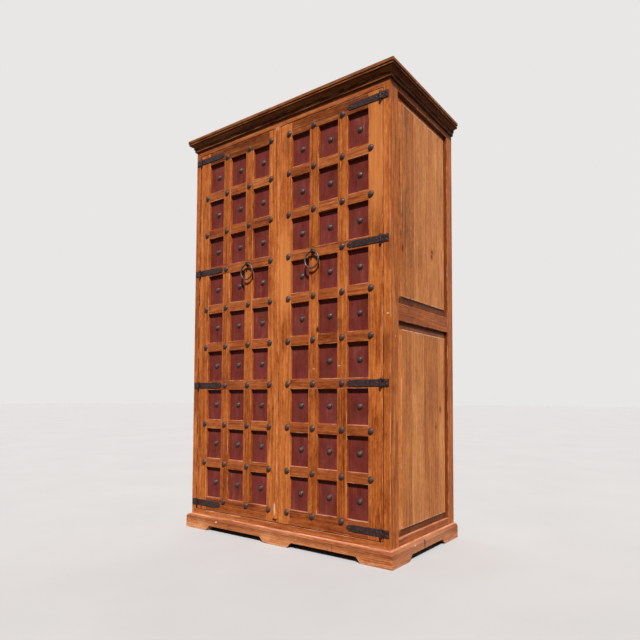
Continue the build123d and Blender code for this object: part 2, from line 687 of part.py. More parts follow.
def leaf_nail_places(level):
    x = POST_INNER + LEAF_REACH - LEAF_NAIL_INSET
    return [(x, level - LEAF_NAIL_SPREAD), (x, level + LEAF_NAIL_SPREAD)]


def plate_hole(x, z):
    half = NAIL_SHANK_WIDTH / 2 + SHANK_CLEARANCE
    return block((x - half, FRONT - STRAP_THICKNESS, z - half), (x + half, FRONT, z + half))


def knuckle(bottom, top):
    """One length of hinge barrel, bored for the pin."""
    height = top - bottom
    ring = Cylinder(BARREL_RADIUS, height) - Cylinder(PIN_RADIUS + PIN_CLEARANCE, height)
    return Pos(PIN_X, PIN_Y, (bottom + top) / 2) * ring


def strap(level):
    """The long iron strap on the door, with a spear-shaped head and the middle knuckle."""
    half = STRAP_HEIGHT / 2
    knuckle_half = STRAP_KNUCKLE_HEIGHT / 2
    tip = POST_INNER - STRAP_REACH
    neck = tip + STRAP_HEAD_LENGTH
    edge = PIN_X - BARREL_RADIUS - PLATE_GAP
    upper = [
        (neck + STRAP_NECK_LENGTH, level + half),
        (neck, level + STRAP_NECK_HEIGHT / 2),
        (tip + STRAP_POINT_LENGTH, level + half),
        (tip, level),
    ]
    lower = [(x, 2 * level - z) for x, z in reversed(upper[:-1])]
    outline = Polyline((edge, level + half), *upper, *lower, (edge, level - half), close=True)
    plate = Pos(0, FRONT, 0) * extrude(Plane.XZ * make_face(outline), amount=STRAP_THICKNESS)
    low = (edge, FRONT - STRAP_THICKNESS, level - knuckle_half)
    plate += block(low, (PIN_X, FRONT, level + knuckle_half))
    for x, z in strap_nail_places(level):
        plate -= plate_hole(x, z)
    plate += knuckle(level - knuckle_half, level + knuckle_half)
    return plate


def leaf(level):
    """The short iron leaf on the post, with the upper and lower knuckles."""
    half = STRAP_HEIGHT / 2
    inner_half = STRAP_KNUCKLE_HEIGHT / 2 + BARREL_GAP
    edge = PIN_X + BARREL_RADIUS + PLATE_GAP
    low = (edge, FRONT - STRAP_THICKNESS, level - half)
    plate = block(low, (POST_INNER + LEAF_REACH, FRONT, level + half))
    for bottom, top in ((level - half, level - inner_half), (level + inner_half, level + half)):
        plate += block((PIN_X, FRONT - STRAP_THICKNESS, bottom), (edge, FRONT, top))
        plate += knuckle(bottom, top)
    for x, z in leaf_nail_places(level):
        plate -= plate_hole(x, z)
    return plate


def hinge_pin(level):
    """A pin with a ball on top and a tapering drop underneath."""
    half = STRAP_HEIGHT / 2
    rod = Cylinder(PIN_RADIUS, STRAP_HEIGHT + BARREL_GAP)
    rod_end = half + BARREL_GAP / 2
    ball = Pos(0, 0, rod_end + FINIAL_RADIUS / 2) * Sphere(FINIAL_RADIUS)
    ball -= Pos(0, 0, rod_end - FINIAL_RADIUS) * Box(2 * FINIAL_RADIUS, 2 * FINIAL_RADIUS, 2 * FINIAL_RADIUS)
    drop = Pos(0, 0, -rod_end - DROP_LENGTH / 2) * Cone(DROP_TIP_RADIUS, FINIAL_RADIUS, DROP_LENGTH)
    return Pos(PIN_X, PIN_Y, level) * (rod + ball + drop)


# ---- Ring pulls -------------------------------------------------------------------------------------
def ring_eye():
    """A forged eye on a round plate, driven into the rail at the ring's level."""
    bar_middle = EYE_HOLE_RADIUS + EYE_BAR_RADIUS
    eye = Pos(0, -EYE_STANDOFF, 0) * Rot(0, 90, 0) * Torus(bar_middle, EYE_BAR_RADIUS)
    plate = Rot(90, 0, 0) * Cylinder(EYE_PLATE_RADIUS, EYE_PLATE_THICKNESS)
    plate = Pos(0, -EYE_PLATE_THICKNESS / 2, 0) * plate
    half = EYE_SHANK_WIDTH / 2
    neck = block((-half, bar_middle - EYE_STANDOFF, -half), (half, EYE_SHANK_LENGTH, half))
    return Pos(muntin_centre(1), FRONT, ring_level()) * (eye + plate + neck)


def ring():
    centre_z = ring_level() - RING_RADIUS
    return Pos(muntin_centre(1), EYE_Y, centre_z) * Rot(90, 0, 0) * Torus(RING_RADIUS, RING_BAR_RADIUS)


# ---- Everything, one file for each node ---------------------------------------------------------------
def carcass_nodes():
    right_leaves = [leaf(level) for level in hinge_levels()]
    right_pins = [hinge_pin(level) for level in hinge_levels()]
    leaf_nails = nails([place for level in hinge_levels() for place in leaf_nail_places(level)])
    right_cleats = cleats()
    right_cornice = [side_length(cornice_section(), CORNICE_OVERHANG)]
    right_plinth = [plinth_side()]
    nodes = {
        "right_front_post": [front_post()],
        "right_back_post": [back_post()],
        "right_side_rails": side_rails(),
        "right_side_panels": side_panels(),
        "face_top_rail": [face_rail(FACE_TOP_RAIL_FOOT, FACE_TOP_RAIL_HEIGHT)],
        "face_bottom_rail": [face_rail(RAIL_FOOT, FACE_BOTTOM_RAIL_HEIGHT)],
        "back_rails": back_rails(),
        "back_boards": back_boards(),
        "floor_board": [floor_board()],
        "shelves": shelves(),
        "cleats": right_cleats + mirrored(right_cleats),
        "door_stop": [door_stop()],
        "top_board": [top_board()],
        "cornice_front": [front_length(cornice_section(), CORNICE_OVERHANG)],
        "cornice_right": right_cornice,
        "cornice_left": mirrored(right_cornice),
        "plinth_front": [plinth_front()],
        "plinth_right": right_plinth,
        "plinth_left": mirrored(right_plinth),
        "plinth_back": [plinth_back()],
        "centre_foot_block": [centre_block()],
        "hinge_leaves": right_leaves + mirrored(right_leaves),
        "hinge_pins": right_pins + mirrored(right_pins),
        "leaf_nails": leaf_nails + mirrored(leaf_nails),
    }
    for piece in ("front_post", "back_post", "side_rails", "side_panels"):
        nodes[f"left_{piece}"] = mirrored(nodes[f"right_{piece}"])
    return nodes


def door_nodes():
    """The two doors. Only the panels' studs and the astragal differ from one to the other."""
    pieces = {
        "hinge_stile": [hinge_stile()],
        "meeting_stile": [meeting_stile()],
        "top_rail": [door_rail(0)],
        "upper_lock_rail": [door_rail(ROWS_PER_SECTION)],
        "lower_lock_rail": [door_rail(2 * ROWS_PER_SECTION)],
        "bottom_rail": [door_rail(ROWS)],
        "muntins": muntins(),
        "cross_bars": cross_bars(),
        "lattice_studs": lattice_studs(),
        "strap_hinges": [strap(level) for level in hinge_levels()],
        "strap_nails": nails(all_strap_nail_places()),
        "ring_eye": [ring_eye()],
        "ring": [ring()],
    }
    nodes = {f"right_{name}": solids for name, solids in pieces.items()}
    nodes |= {f"left_{name}": mirrored(solids) for name, solids in pieces.items()}
    nodes["right_panels"] = door_panels(MISSING_STUD)
    nodes["left_panels"] = mirrored(door_panels())
    nodes["right_panel_studs"] = panel_studs(MISSING_STUD)
    nodes["left_panel_studs"] = mirrored(panel_studs())
    nodes["left_astragal"] = [astragal()]
    return nodes


os.makedirs("parts", exist_ok=True)
for node, solids in (carcass_nodes() | door_nodes()).items():
    save(node, solids)
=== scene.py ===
"""The looks of a two-door pine trastero cabinet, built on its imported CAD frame. Metres, +Z up."""
import math
import random

import bmesh
import bpy
from mathutils import Matrix, Vector, noise


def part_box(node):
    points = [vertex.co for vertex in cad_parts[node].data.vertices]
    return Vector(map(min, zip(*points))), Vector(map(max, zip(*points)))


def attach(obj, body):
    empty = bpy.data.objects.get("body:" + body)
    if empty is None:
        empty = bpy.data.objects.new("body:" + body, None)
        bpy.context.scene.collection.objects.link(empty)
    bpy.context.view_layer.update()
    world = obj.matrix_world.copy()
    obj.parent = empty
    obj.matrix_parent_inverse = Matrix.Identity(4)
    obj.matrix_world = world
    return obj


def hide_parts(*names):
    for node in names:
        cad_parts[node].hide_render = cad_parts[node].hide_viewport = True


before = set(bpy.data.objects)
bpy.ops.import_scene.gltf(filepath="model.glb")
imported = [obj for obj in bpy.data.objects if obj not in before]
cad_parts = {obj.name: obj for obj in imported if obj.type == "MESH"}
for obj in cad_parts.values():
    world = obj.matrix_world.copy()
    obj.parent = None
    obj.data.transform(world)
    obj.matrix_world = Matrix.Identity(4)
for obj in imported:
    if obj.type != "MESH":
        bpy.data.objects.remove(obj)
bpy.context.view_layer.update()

MM = 0.001

# ---- Camera and picture
CAMERA_PLACE = Vector((1.7004, -2.2704, 0.6887))
CAMERA_FORWARD = Vector((-0.59226, 0.80443, 0.04593))
CAMERA_RIGHT = Vector((0.80540, 0.59271, 0.00464))
PICTURE_SIDE = 640  # pixels
FOCAL_PIXELS = 539.6
CENTRE_PIXELS = (321.3, 374.1)
SENSOR_WIDTH = 36.0  # mm

# ---- Light
KEY_DIRECTION = Vector((0.74, -1.0, 1.41))  # from the cabinet to the lamp
KEY_STRENGTH = 5.4
KEY_ANGLE = 5.0  # degrees, the width of the lamp as the cabinet sees it
KEY_COLOUR = (1.0, 0.98, 0.95)
FRONT_FILL = 0.09  # soft light from all around
BACK_FILL = 0.85  # and from a wide screen behind the cabinet
FILL_COLOUR = (255, 246, 238)
BACK_SCREEN = Vector((-0.70, 0.70, 0.14))  # from the cabinet to the middle of that screen
BACK_SCREEN_EDGE = (0.05, 0.85)  # cosines of the angles from its middle where it begins and is full
FLOOR_REACH = 60.0  # from the cabinet to the floor's edges
FLOOR_BOUNCE = (52, 48, 45)  # the floor's colour as the cabinet is lit by it
BACKGROUND = (232, 231, 230)

# ---- The object's own sizes, as in the CAD
SIDES = (("right", 1), ("left", -1))
COLUMNS = 3
ROWS = 9
ROWS_PER_SECTION = 3
MUNTIN_WIDTH = 52 * MM
BAR_HEIGHT = 48 * MM
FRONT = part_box("right_meeting_stile")[0].y  # the plane of the doors' faces
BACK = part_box("right_back_post")[1].y
HALF_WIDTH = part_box("right_front_post")[1].x
CARCASS_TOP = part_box("right_front_post")[1].z
POST_INNER = HALF_WIDTH - 35 * MM  # the inner face of the right-hand post
SIDE_BOTTOM_RAIL = 66 * MM  # height
SIDE_MIDDLE_RAIL = (1025 * MM, 1099 * MM)  # its lower and upper edge
SIDE_TOP_RAIL = 73 * MM  # height
PANEL_SETBACK = 15 * MM  # from a frame's face to the panel in it
PANEL_THICKNESS = 8 * MM
PANEL_TONGUE = 2 * MM  # how far a door's panel goes into its frame
CORNICE_HEIGHT = 46 * MM
PLINTH_THICKNESS = 20 * MM
PLINTH_HEIGHT = 72 * MM
GAP_RISE = 26 * MM  # of the cut-outs between the plinth's feet
GAP_SLOPE = 34 * MM  # over which a foot curves up to that
CORNER_FOOT = 128 * MM  # length of a corner's foot, along the front
MIDDLE_FOOT_HALF = 69 * MM  # half the length of the foot in the middle
SIDE_FRONT_FOOT = 124 * MM  # lengths of the feet along a side
SIDE_BACK_FOOT = 152 * MM
DOOR_THICKNESS = 34 * MM
FIELD_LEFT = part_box("right_meeting_stile")[1].x
FIELD_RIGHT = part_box("right_hinge_stile")[0].x
FIELD_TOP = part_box("right_top_rail")[1].z - 66 * MM  # the top rail's height
FIELD_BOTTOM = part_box("right_bottom_rail")[0].z + 70 * MM  # the bottom rail's height
OPENING_WIDTH = (FIELD_RIGHT - FIELD_LEFT - (COLUMNS - 1) * MUNTIN_WIDTH) / COLUMNS
OPENING_HEIGHT = (FIELD_TOP - FIELD_BOTTOM - (ROWS - 1) * BAR_HEIGHT) / ROWS
STUD_INSET = 14 * MM
STUD_RADIUS = 15.5 * MM
STUD_RISE = 10 * MM
PANEL_STUD_RADIUS = 13.5 * MM
PANEL_STUD_RISE = 8 * MM
FLANGE_RADIUS = 16.5 * MM
FLANGE_THICKNESS = 1.5 * MM
LATTICE_STUD_SHIFT = Vector((-1.5 * MM, 0.3 * MM, 0))  # from a shank's place to the middle of its head
PANEL_STUD_SHIFT = Vector((4 * MM, 0.5 * MM, 1.5 * MM))
MISSING_STUD = (6, 1)  # row and column of the stud that the right-hand door has lost
STRAP_THICKNESS = 3 * MM
STRAP_SUNK = 0.2 * MM  # how far a strap's underside goes into the wood
PIN_INSET = 8 * MM  # from the post's inner face to the pin's axis
PIN_STANDOFF = 7 * MM  # from the door's face to it
KNUCKLE_RADIUS = 6.5 * MM
KNUCKLE_BORE = 2.7 * MM  # radius
KNUCKLE_HALF = 6 * MM  # half the height of the knuckle in the middle of each hinge
RING_RADIUS = 39 * MM
RING_BAR_RADIUS = 4.5 * MM
EYE_STANDOFF = 14 * MM

# ---- How the wood and the iron are worked
ARRIS = 1.3 * MM  # radius of the worn edges
EDGE_FADE = 6 * MM  # how far in from an edge its wear can reach
GRID_STEP = 30 * MM
RIPPLE = 0.45 * MM  # depth of the plane marks and of the wood's own movement
MOULDING_RIPPLE = RIPPLE * 0.6
RIPPLES_ACROSS, RIPPLES_ALONG = 17, 4.5  # per metre
HAMMER_MARKS = 160  # per metre
SHARP_ANGLE = math.radians(38)  # between the faces at an edge that stays sharp
SHARP_TURN = math.radians(25)  # of a moulding's section, where its edge is worn
ROUND_STEPS = 20  # sides of whatever is turned
CAP_RINGS = 7  # rings of a stud's dome
USUAL_TONE = 0.5
TONE_SPREAD = 0.28  # how much one board may be paler or darker than the next
TONES = {  # where a member's boards are not of the usual tone, from 0, dark, to 1, pale
    "right_muntins": 0.10, "left_muntins": 0.15, "right_top_rail": 0.85, "left_top_rail": 0.30,
    "right_bottom_rail": 0.0, "face_bottom_rail": 0.85, "right_meeting_stile": 0.60,
    "left_hinge_stile": 0.25,
}
SIDE_RAIL_TONES_AND_LIGHT = (0.75, 0.75, 1.3)  # from the bottom up; the top rail's paler tone is painted light, standing in for light thrown up under the cornice
# The front's paler tone is painted light, standing in for the light the floor throws up into the front
# cove.
CORNICE_FRONT_LIGHT_AND_TONE, CORNICE_SIDE_LIGHT_AND_TONE = 1.25, 0.6
PLINTH_TONE = 0.65


# ---- Meshes
class Piece:
    """A mesh being put together, with what its material reads at each point."""

    def __init__(self, name, rng):
        self.name = name
        self.rng = rng
        self.points = []
        self.faces = []
        self.grain = []  # place in the tree, from the pith: across, along, depth
        self.tone = []  # one number for each board or stud
        self.edge = []  # 1 on an edge, 0 a little way in from it
        self.soak = []  # 1 where the colour is darkened: painted shade in grooves, recesses, on the panels' bevels and under mouldings, and stain

    def add(self, points, faces, tone, edge, grain=None, soak=None):
        """Add a closed shell, such as one board or one stud."""
        start = len(self.points)
        self.points += [tuple(point) for point in points]
        self.faces += [[start + corner for corner in face] for face in faces]
        self.grain += [tuple(place) for place in (grain or points)]
        self.tone += [tone] * len(points)
        self.edge += edge
        self.soak += soak or [0.0] * len(points)

    def build(self, body, material, slot, *nodes):
        """Make the object, which rides on a body and takes the place of CAD nodes."""
        mesh = bpy.data.meshes.new(self.name)
        mesh.from_pydata(self.points, [], self.faces)
        grain = mesh.attributes.new("grain", "FLOAT_VECTOR", "POINT")
        grain.data.foreach_set("vector", [value for place in self.grain for value in place])
        for name, values in (("tone", self.tone), ("edge", self.edge), ("soak", self.soak)):
            mesh.attributes.new(name, "FLOAT", "POINT").data.foreach_set("value", values)
        mend_normals(mesh)
        mesh.materials.append(material)
        thing = put(self.name, mesh)
        thing.modifiers.new("even_normals", "WEIGHTED_NORMAL").keep_sharp = True
        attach(thing, body)
        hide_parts(*nodes)


def put(name, data):
    """Put a mesh, a lamp or a camera into the scene."""
    thing = bpy.data.objects.new(name, data)
    bpy.context.scene.collection.objects.link(thing)
    return thing


def mend_normals(mesh):
    """Turn the faces outward, shade them smooth and mark the edges that stay sharp."""
    work = bmesh.new()
    work.from_mesh(mesh)
    bmesh.ops.recalc_face_normals(work, faces=work.faces)
    for face in work.faces:
        face.smooth = True
    for edge in work.edges:
        if len(edge.link_faces) == 2 and edge.calc_face_angle() > SHARP_ANGLE:
            edge.smooth = False
    work.to_mesh(mesh)
    work.free()


def grid_lines(low, high, radius, fade, step):
    """Where a board's surface is divided: closely at its ends and evenly between them."""
    fade = min(fade, 0.45 * (high - low))
    ends = [0.0, radius * (1 - math.tan(math.radians(22.5))), radius, fade]
    length = high - low - 2 * fade
    count = max(1, round(length / step))
    inner = [low + fade + length * number / count for number in range(1, count)]
    return [low + end for end in ends] + inner + [high - end for end in reversed(ends)]


def rings_joined(count, size, endless=False):
    """Faces over count rings of size points, one after the other, closed at both ends or into a loop."""
    faces = []
    for ring in range(count if endless else count - 1):
        start, above = ring * size, (ring + 1) % count * size
        for k in range(size):
            following = (k + 1) % size
            faces.append([start + k, start + following, above + following, above + k])
    if not endless:
        faces.append(list(range(size)))
        faces.append([(count - 1) * size + k for k in range(size)])
    return faces


def place_in_tree(low, high, along, depth, rng):
    """A random place in a tree for a board, as a function from a point to its wood."""
    across = 3 - along - depth
    middle = (Vector(low) + Vector(high)) / 2
    sideways = rng.uniform(-0.05, 0.05)
    from_pith = rng.choice((-1, 1)) * rng.uniform(0.03, 0.11)
    start = rng.uniform(-20, 20)

    def place(point):
        return (
            point[across] - middle[across] + sideways,
            point[along] - middle[along] + start,
            point[depth] - middle[depth] + from_pith,
        )

    return place


def ripple_at(place):
    """A smooth number from 0 to 1 that changes slowly along the grain and faster across it."""
    across, along, depth = place
    spot = Vector((across * RIPPLES_ACROSS, along * RIPPLES_ALONG, depth * RIPPLES_ACROSS))
    return 0.5 + 0.5 * noise.noise(spot)


def board(piece, low, high, along, depth, radius=ARRIS, fade=EDGE_FADE, ripple=RIPPLE, tone=USUAL_TONE,
          soak_of=None):
    """A length of timber with softened edges. along and depth are axes: 0, 1 or 2."""
    low, high = Vector(low), Vector(high)
    lines = [grid_lines(low[axis], high[axis], radius, fade, GRID_STEP) for axis in range(3)]
    place = place_in_tree(low, high, along, depth, piece.rng)
    inner_low = low + Vector((radius,) * 3)
    inner_high = high - Vector((radius,) * 3)
    points, grain, edge, soak, faces, index = [], [], [], [], [], {}

    def corner(key):
        if key in index:
            return index[key]
        flat = Vector(lines[axis][key[axis]] for axis in range(3))
        core = Vector(min(max(flat[k], inner_low[k]), inner_high[k]) for k in range(3))
        normal = (flat - core).normalized()
        wood = place(flat)
        reach = max(min(flat[k] - low[k], high[k] - flat[k]) for k in range(3) if k != along)
        points.append(core + normal * (radius - ripple * ripple_at(wood)))
        grain.append(wood)
        edge.append(max(0.0, 1 - reach / fade))
        soak.append(soak_of(flat) if soak_of else 0.0)
        index[key] = len(points) - 1
        return index[key]

    for axis in range(3):
        first, second = [other for other in range(3) if other != axis]
        for level in (0, len(lines[axis]) - 1):
            for i in range(len(lines[first]) - 1):
                for j in range(len(lines[second]) - 1):
                    face = []
                    for di, dj in ((0, 0), (1, 0), (1, 1), (0, 1)):
                        key = [0, 0, 0]
                        key[axis], key[first], key[second] = level, i + di, j + dj
                        face.append(corner(tuple(key)))
                    faces.append(face)
    tone += piece.rng.uniform(-TONE_SPREAD, TONE_SPREAD)
    piece.add(points, faces, tone, edge, grain, soak)


def board_piece(node, body, material, along, depth, seed, **options):
    """One board that takes the place of a CAD node of its own."""
    piece = Piece(node + "_board", random.Random(seed))
    board(piece, *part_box(node), along, depth, tone=TONES.get(node, USUAL_TONE), **options)
    piece.build(body, material, "pine", node)


def arc(centre, radii, start, end, count):
    """Points of an arc in a moulding's section, angles in degrees from outward towards up."""
    angles = [math.radians(start + (end - start) * k / count) for k in range(count + 1)]
    return [(centre[0] + radii[0] * math.cos(a), centre[1] + radii[1] * math.sin(a)) for a in angles]


def moulding(piece, section, place_of, shares, tone, soak_of, foot_of=None):
    """Carry a closed section, drawn as (outward, up), from one end of its run to the other.

    place_of(share, outward, up) gives the point at that share of the run. soak_of(outward, up)
    says how far that place of the section is darkened, by stain and by painted shade. foot_of(share)
    lifts the section's lower edge there, for the cut-outs of a plinth.
    """
    from_pith = piece.rng.uniform(0.02, 0.06)
    start = piece.rng.uniform(-20, 20)
    points, grain, edge, soak = [], [], [], []
    run = (place_of(1, 0, 0) - place_of(0, 0, 0)).length
    crests = [section[k - 1][0] < section[k][0] >= section[(k + 1) % len(section)][0]
              for k in range(len(section))]
    tips = [crest or abs(turn_at(section, k)) > SHARP_TURN for k, crest in enumerate(crests)]
    for share in shares:
        foot = foot_of(share) if foot_of else 0.0
        for (outward, up), tip in zip(section, tips):
            wood = (up + from_pith, share * run + start, outward + 0.07)
            shrink = MOULDING_RIPPLE * ripple_at(wood) if outward > 1 * MM else 0.0
            points.append(place_of(share, outward - shrink, max(up, foot)))
            grain.append(wood)
            edge.append(1.0 if tip else 0.25)
            soak.append(soak_of(outward, up))
    piece.add(points, rings_joined(len(shares), len(section)), tone, edge, grain, soak)


def turn_at(section, k):
    """How sharply a section turns at one of its points."""
    before = Vector(section[k]) - Vector(section[k - 1])
    after = Vector(section[(k + 1) % len(section)]) - Vector(section[k])
    if before.length < 1e-9 or after.length < 1e-9:
        return 0.0
    return before.angle_signed(after)


def lathe(piece, profile, turn, centre, roughness, bored=False):
    """Turn a profile of (radius, height) about an axis, with a hammered surface.

    turn is a matrix that takes the axis from +Z to where it points. A bored piece's profile ends
    down the bore, and closes on its start.
    """
    rng = piece.rng
    offset = Vector((rng.uniform(-9, 9), rng.uniform(-9, 9), rng.uniform(-9, 9)))
    spin = rng.uniform(0, math.tau)
    points, edge = [], []
    top = max(height for _, height in profile)
    for radius, height in profile:
        for k in range(ROUND_STEPS):
            angle = spin + math.tau * k / ROUND_STEPS
            local = Vector((radius * math.cos(angle), radius * math.sin(angle), height))
            dent = roughness * noise.noise(local * HAMMER_MARKS + offset)
            points.append(centre + turn @ (local * (1 - max(0.0, dent))))
            edge.append(1 - height / top)
    piece.add(points, rings_joined(len(profile), ROUND_STEPS, bored), rng.random(), edge)


FACING = Matrix.Rotation(math.radians(90), 3, "X")  # takes +Z to -Y, out of the doors


# ---- Materials
def colour(red, green, blue):
    """A colour given as it looks on screen, 0 to 255, as Blender's linear colour."""
    shares = [value / 255 for value in (red, green, blue)]
    linear = [s / 12.92 if s <= 0.04045 else ((s + 0.055) / 1.055) ** 2.4 for s in shares]
    return (*linear, 1.0)


class Nodes:
    """Short calls that add nodes to a material's or a world's tree and link them."""

    def __init__(self, owner):
        owner.use_nodes = True
        self.owner = owner
        self.tree = owner.node_tree
        self.shader = self.tree.nodes.get("Principled BSDF")

    def feed(self, node, inputs):
        """Give each of a node's inputs a value or another node's output."""
        for key, value in inputs.items():
            if isinstance(value, bpy.types.NodeSocket):
                self.tree.links.new(value, node.inputs[key])
            else:
                node.inputs[key].default_value = value

    def add(self, kind, inputs, **settings):
        node = self.tree.nodes.new("ShaderNode" + kind)
        for name, value in settings.items():
            setattr(node, name, value)
        self.feed(node, inputs)
        return node

    def attribute(self, name, output="Fac"):
        """What a piece carries at each of its points."""
        return self.add("Attribute", {}, attribute_name=name).outputs[output]

    def coordinates(self, output="Object"):
        return self.add("TexCoord", {}).outputs[output]

    def seen(self):
        """1 for a ray that shows what it meets, 0 for one that only gathers light from it."""
        rays = self.add("LightPath", {}).outputs
        direct = self.math("MAXIMUM", rays["Is Camera Ray"], rays["Is Glossy Ray"])
        return self.math("MAXIMUM", direct, rays["Is Transmission Ray"])

    def math(self, operation, first, second=0.0):
        return self.add("Math", {0: first, 1: second}, operation=operation).outputs[0]

    def vector(self, operation, first, *second, output=0):
        inputs = dict(enumerate((first, *second)))
        return self.add("VectorMath", inputs, operation=operation).outputs[output]

    def scaled(self, vector, x, y, z):
        return self.vector("MULTIPLY", vector, (x, y, z))

    def length(self, vector):
        return self.vector("LENGTH", vector, output="Value")

    def noise(self, vector, scale=1.0, detail=2.0, roughness=0.5, output=0):
        inputs = {"Vector": vector, "Scale": scale, "Detail": detail, "Roughness": roughness}
        return self.add("TexNoise", inputs).outputs[output]

    def grained(self, place, across, along, detail=2.0, roughness=0.5):
        """Noise in the wood, so fine across its grain and so fine along it."""
        return self.noise(self.scaled(place, across, along, across), 1.0, detail, roughness)

    def between(self, value, low, high, to_low=0.0, to_high=1.0):
        inputs = {"Value": value, "From Min": low, "From Max": high, "To Min": to_low, "To Max": to_high}
        return self.add("MapRange", inputs, interpolation_type="SMOOTHSTEP").outputs[0]

    def mix(self, factor, first, second, blend="MIX"):
        node = self.add("Mix", {0: factor, 6: first, 7: second}, data_type="RGBA", blend_type=blend)
        return node.outputs[2]

    def tinted(self, factor, base, tint):
        """A colour that is multiplied by a tint, by that share."""
        return self.mix(factor, base, self.mix(1.0, base, tint, "MULTIPLY"))

    def ramp(self, value, stops):
        node = self.add("ValToRGB", {0: value})
        elements = node.color_ramp.elements
        while len(elements) < len(stops):
            elements.new(0.5)
        for element, (place, shade) in zip(elements, stops):
            element.position = place
            element.color = shade
        return node.outputs[0]

    def finish(self, base, roughness, height, strength, distance, specular, metallic=0.0):
        """Feed the shader of a material, with bumps of that height, and return the material."""
        bumps = self.add("Bump", {"Height": height, "Strength": strength, "Distance": distance}).outputs[0]
        self.feed(self.shader, {
            "Base Color": base, "Roughness": roughness, "Normal": bumps,
            "Specular IOR Level": specular, "Metallic": metallic,
        })
        return self.owner


RINGS_PER_METRE = 170.0  # of a tree's growth


def growth_rings(nodes, place):
    """Dark late wood, 0 to 1, in rings around the pith that wander along the tree."""
    wander = nodes.noise(nodes.scaled(place, 5.0, 1.3, 5.0), output="Color")
    bent = nodes.vector("ADD", place, nodes.scaled(wander, 0.030, 0.0, 0.030))
    radius = nodes.length(nodes.scaled(bent, 1.0, 0.0, 1.0))
    share = nodes.math("FRACT", nodes.math("MULTIPLY", radius, RINGS_PER_METRE))
    rise = nodes.between(share, 0.25, 0.86)
    fall = nodes.between(share, 0.90, 1.0, 1.0, 0.0)
    return nodes.math("MULTIPLY", rise, fall)


def wood(name, stops, worn_and_lit, place_axis=None, gloss=0.42, sheen=0.09, contrast=1.0, upward_paleness=0.65, marks=()):
    """Stained and varnished pine. Boards of scene pieces carry their own grain as attributes.

    place_axis gives the direction of the grain, 0, 1 or 2, on a CAD node, which has none.
    """
    nodes = Nodes(bpy.data.materials.new(name))
    if place_axis is None:
        place, tone = nodes.attribute("grain", "Vector"), nodes.attribute("tone")
    else:
        place, tone = placed_by_axis(nodes, place_axis)
    rings = growth_rings(nodes, place)
    fibres = nodes.grained(place, 540.0, 20.0, 3.0, 0.6)
    streaks = nodes.grained(place, 88.0, 2.4, 4.0, 0.65)
    clouds = nodes.grained(place, 8.0, 3.4, 4.0, 0.62)
    blotches = nodes.grained(place, 95.0, 32.0, 3.0, 0.7)
    flecks = nodes.grained(place, 260.0, 34.0, 2.0, 0.7)
    shade = nodes.between(flecks, 0.58, 0.72, 0.60, 0.46)
    parts = (  # each with the value that changes nothing, and how much it counts
        (streaks, 0.5, 0.75), (clouds, 0.5, 0.80), (fibres, 0.5, 0.55),
        (blotches, 0.5, 0.60), (tone, 0.5, 0.30), (rings, 0.3, -0.15),
    )
    for value, middle, weight in parts:
        part = nodes.math("MULTIPLY", nodes.math("SUBTRACT", value, middle), weight * contrast)
        shade = nodes.math("ADD", shade, part)
    redness = nodes.between(nodes.grained(place, 17.0, 1.3), 0.50, 0.75, 0.0, 0.35)
    base = nodes.tinted(redness, nodes.ramp(shade, stops), REDDER)
    if place_axis is None:
        base = aged(nodes, base, place, clouds, worn_and_lit, upward_paleness)
    for spots, shade_of_spot, strength in marks:
        base = nodes.mix(marked(nodes, spots, strength), base, shade_of_spot)
    rough = nodes.between(nodes.math("ADD", fibres, clouds), 0.7, 1.3, gloss - 0.06, gloss + 0.13)
    height = nodes.math("SUBTRACT", fibres, nodes.math("MULTIPLY", rings, 0.6))
    return nodes.finish(base, rough, height, 0.20, 0.0006, sheen)


def aged(nodes, base, place, clouds, worn_and_lit, upward_paleness):
    """A board's colour, darkened by stain and painted shade, paler at worn edges (on the panels' upper
    rims also a painted highlight) and on faces that look up.
    """
    # Darkened by stain, and by painted shade in grooves, recesses and on the panels' bevels.
    soak = nodes.between(nodes.attribute("soak"), 0.0, 1.0, 0.0, 0.95)
    base = nodes.tinted(soak, base, STAIN_AND_SHADE_TINT)
    scuffs = nodes.grained(place, 95.0, 12.0, 3.0, 0.65)
    wear_and_light = nodes.math("MULTIPLY", nodes.attribute("edge"), nodes.between(scuffs, 0.34, 0.66))
    base = nodes.mix(nodes.between(wear_and_light, 0.26, 0.84, 0.0, 0.75), base, worn_and_lit)
    # Paler on the faces that look up.
    normal = nodes.add("NewGeometry", {}).outputs["Normal"]
    upward = nodes.between(nodes.add("SeparateXYZ", {0: normal}).outputs["Z"], 0.80, 0.99)
    pale_on_top = nodes.math("MULTIPLY", upward, nodes.between(clouds, 0.34, 0.62, 0.3 * upward_paleness, upward_paleness))
    return nodes.mix(pale_on_top, base, UPWARD_PALE)


def marked(nodes, spots, strength):
    """How far a point is into one of the named marks, each an uneven oval, from 0 to strength."""
    place = nodes.coordinates()
    wander = nodes.vector("ADD", nodes.noise(place, 90.0, 2.0, 0.6, output="Color"), (-0.5, -0.5, -0.5))
    place = nodes.vector("ADD", place, nodes.scaled(wander, 0.008, 0.008, 0.008))
    most = None
    for centre, reach in spots:
        offset = nodes.vector("ADD", place, tuple(-value for value in centre))
        offset = nodes.scaled(offset, *(1 / value for value in reach))
        inside = nodes.between(nodes.length(offset), 0.35, 1.0, strength, 0.0)
        most = inside if most is None else nodes.math("MAXIMUM", most, inside)
    return most


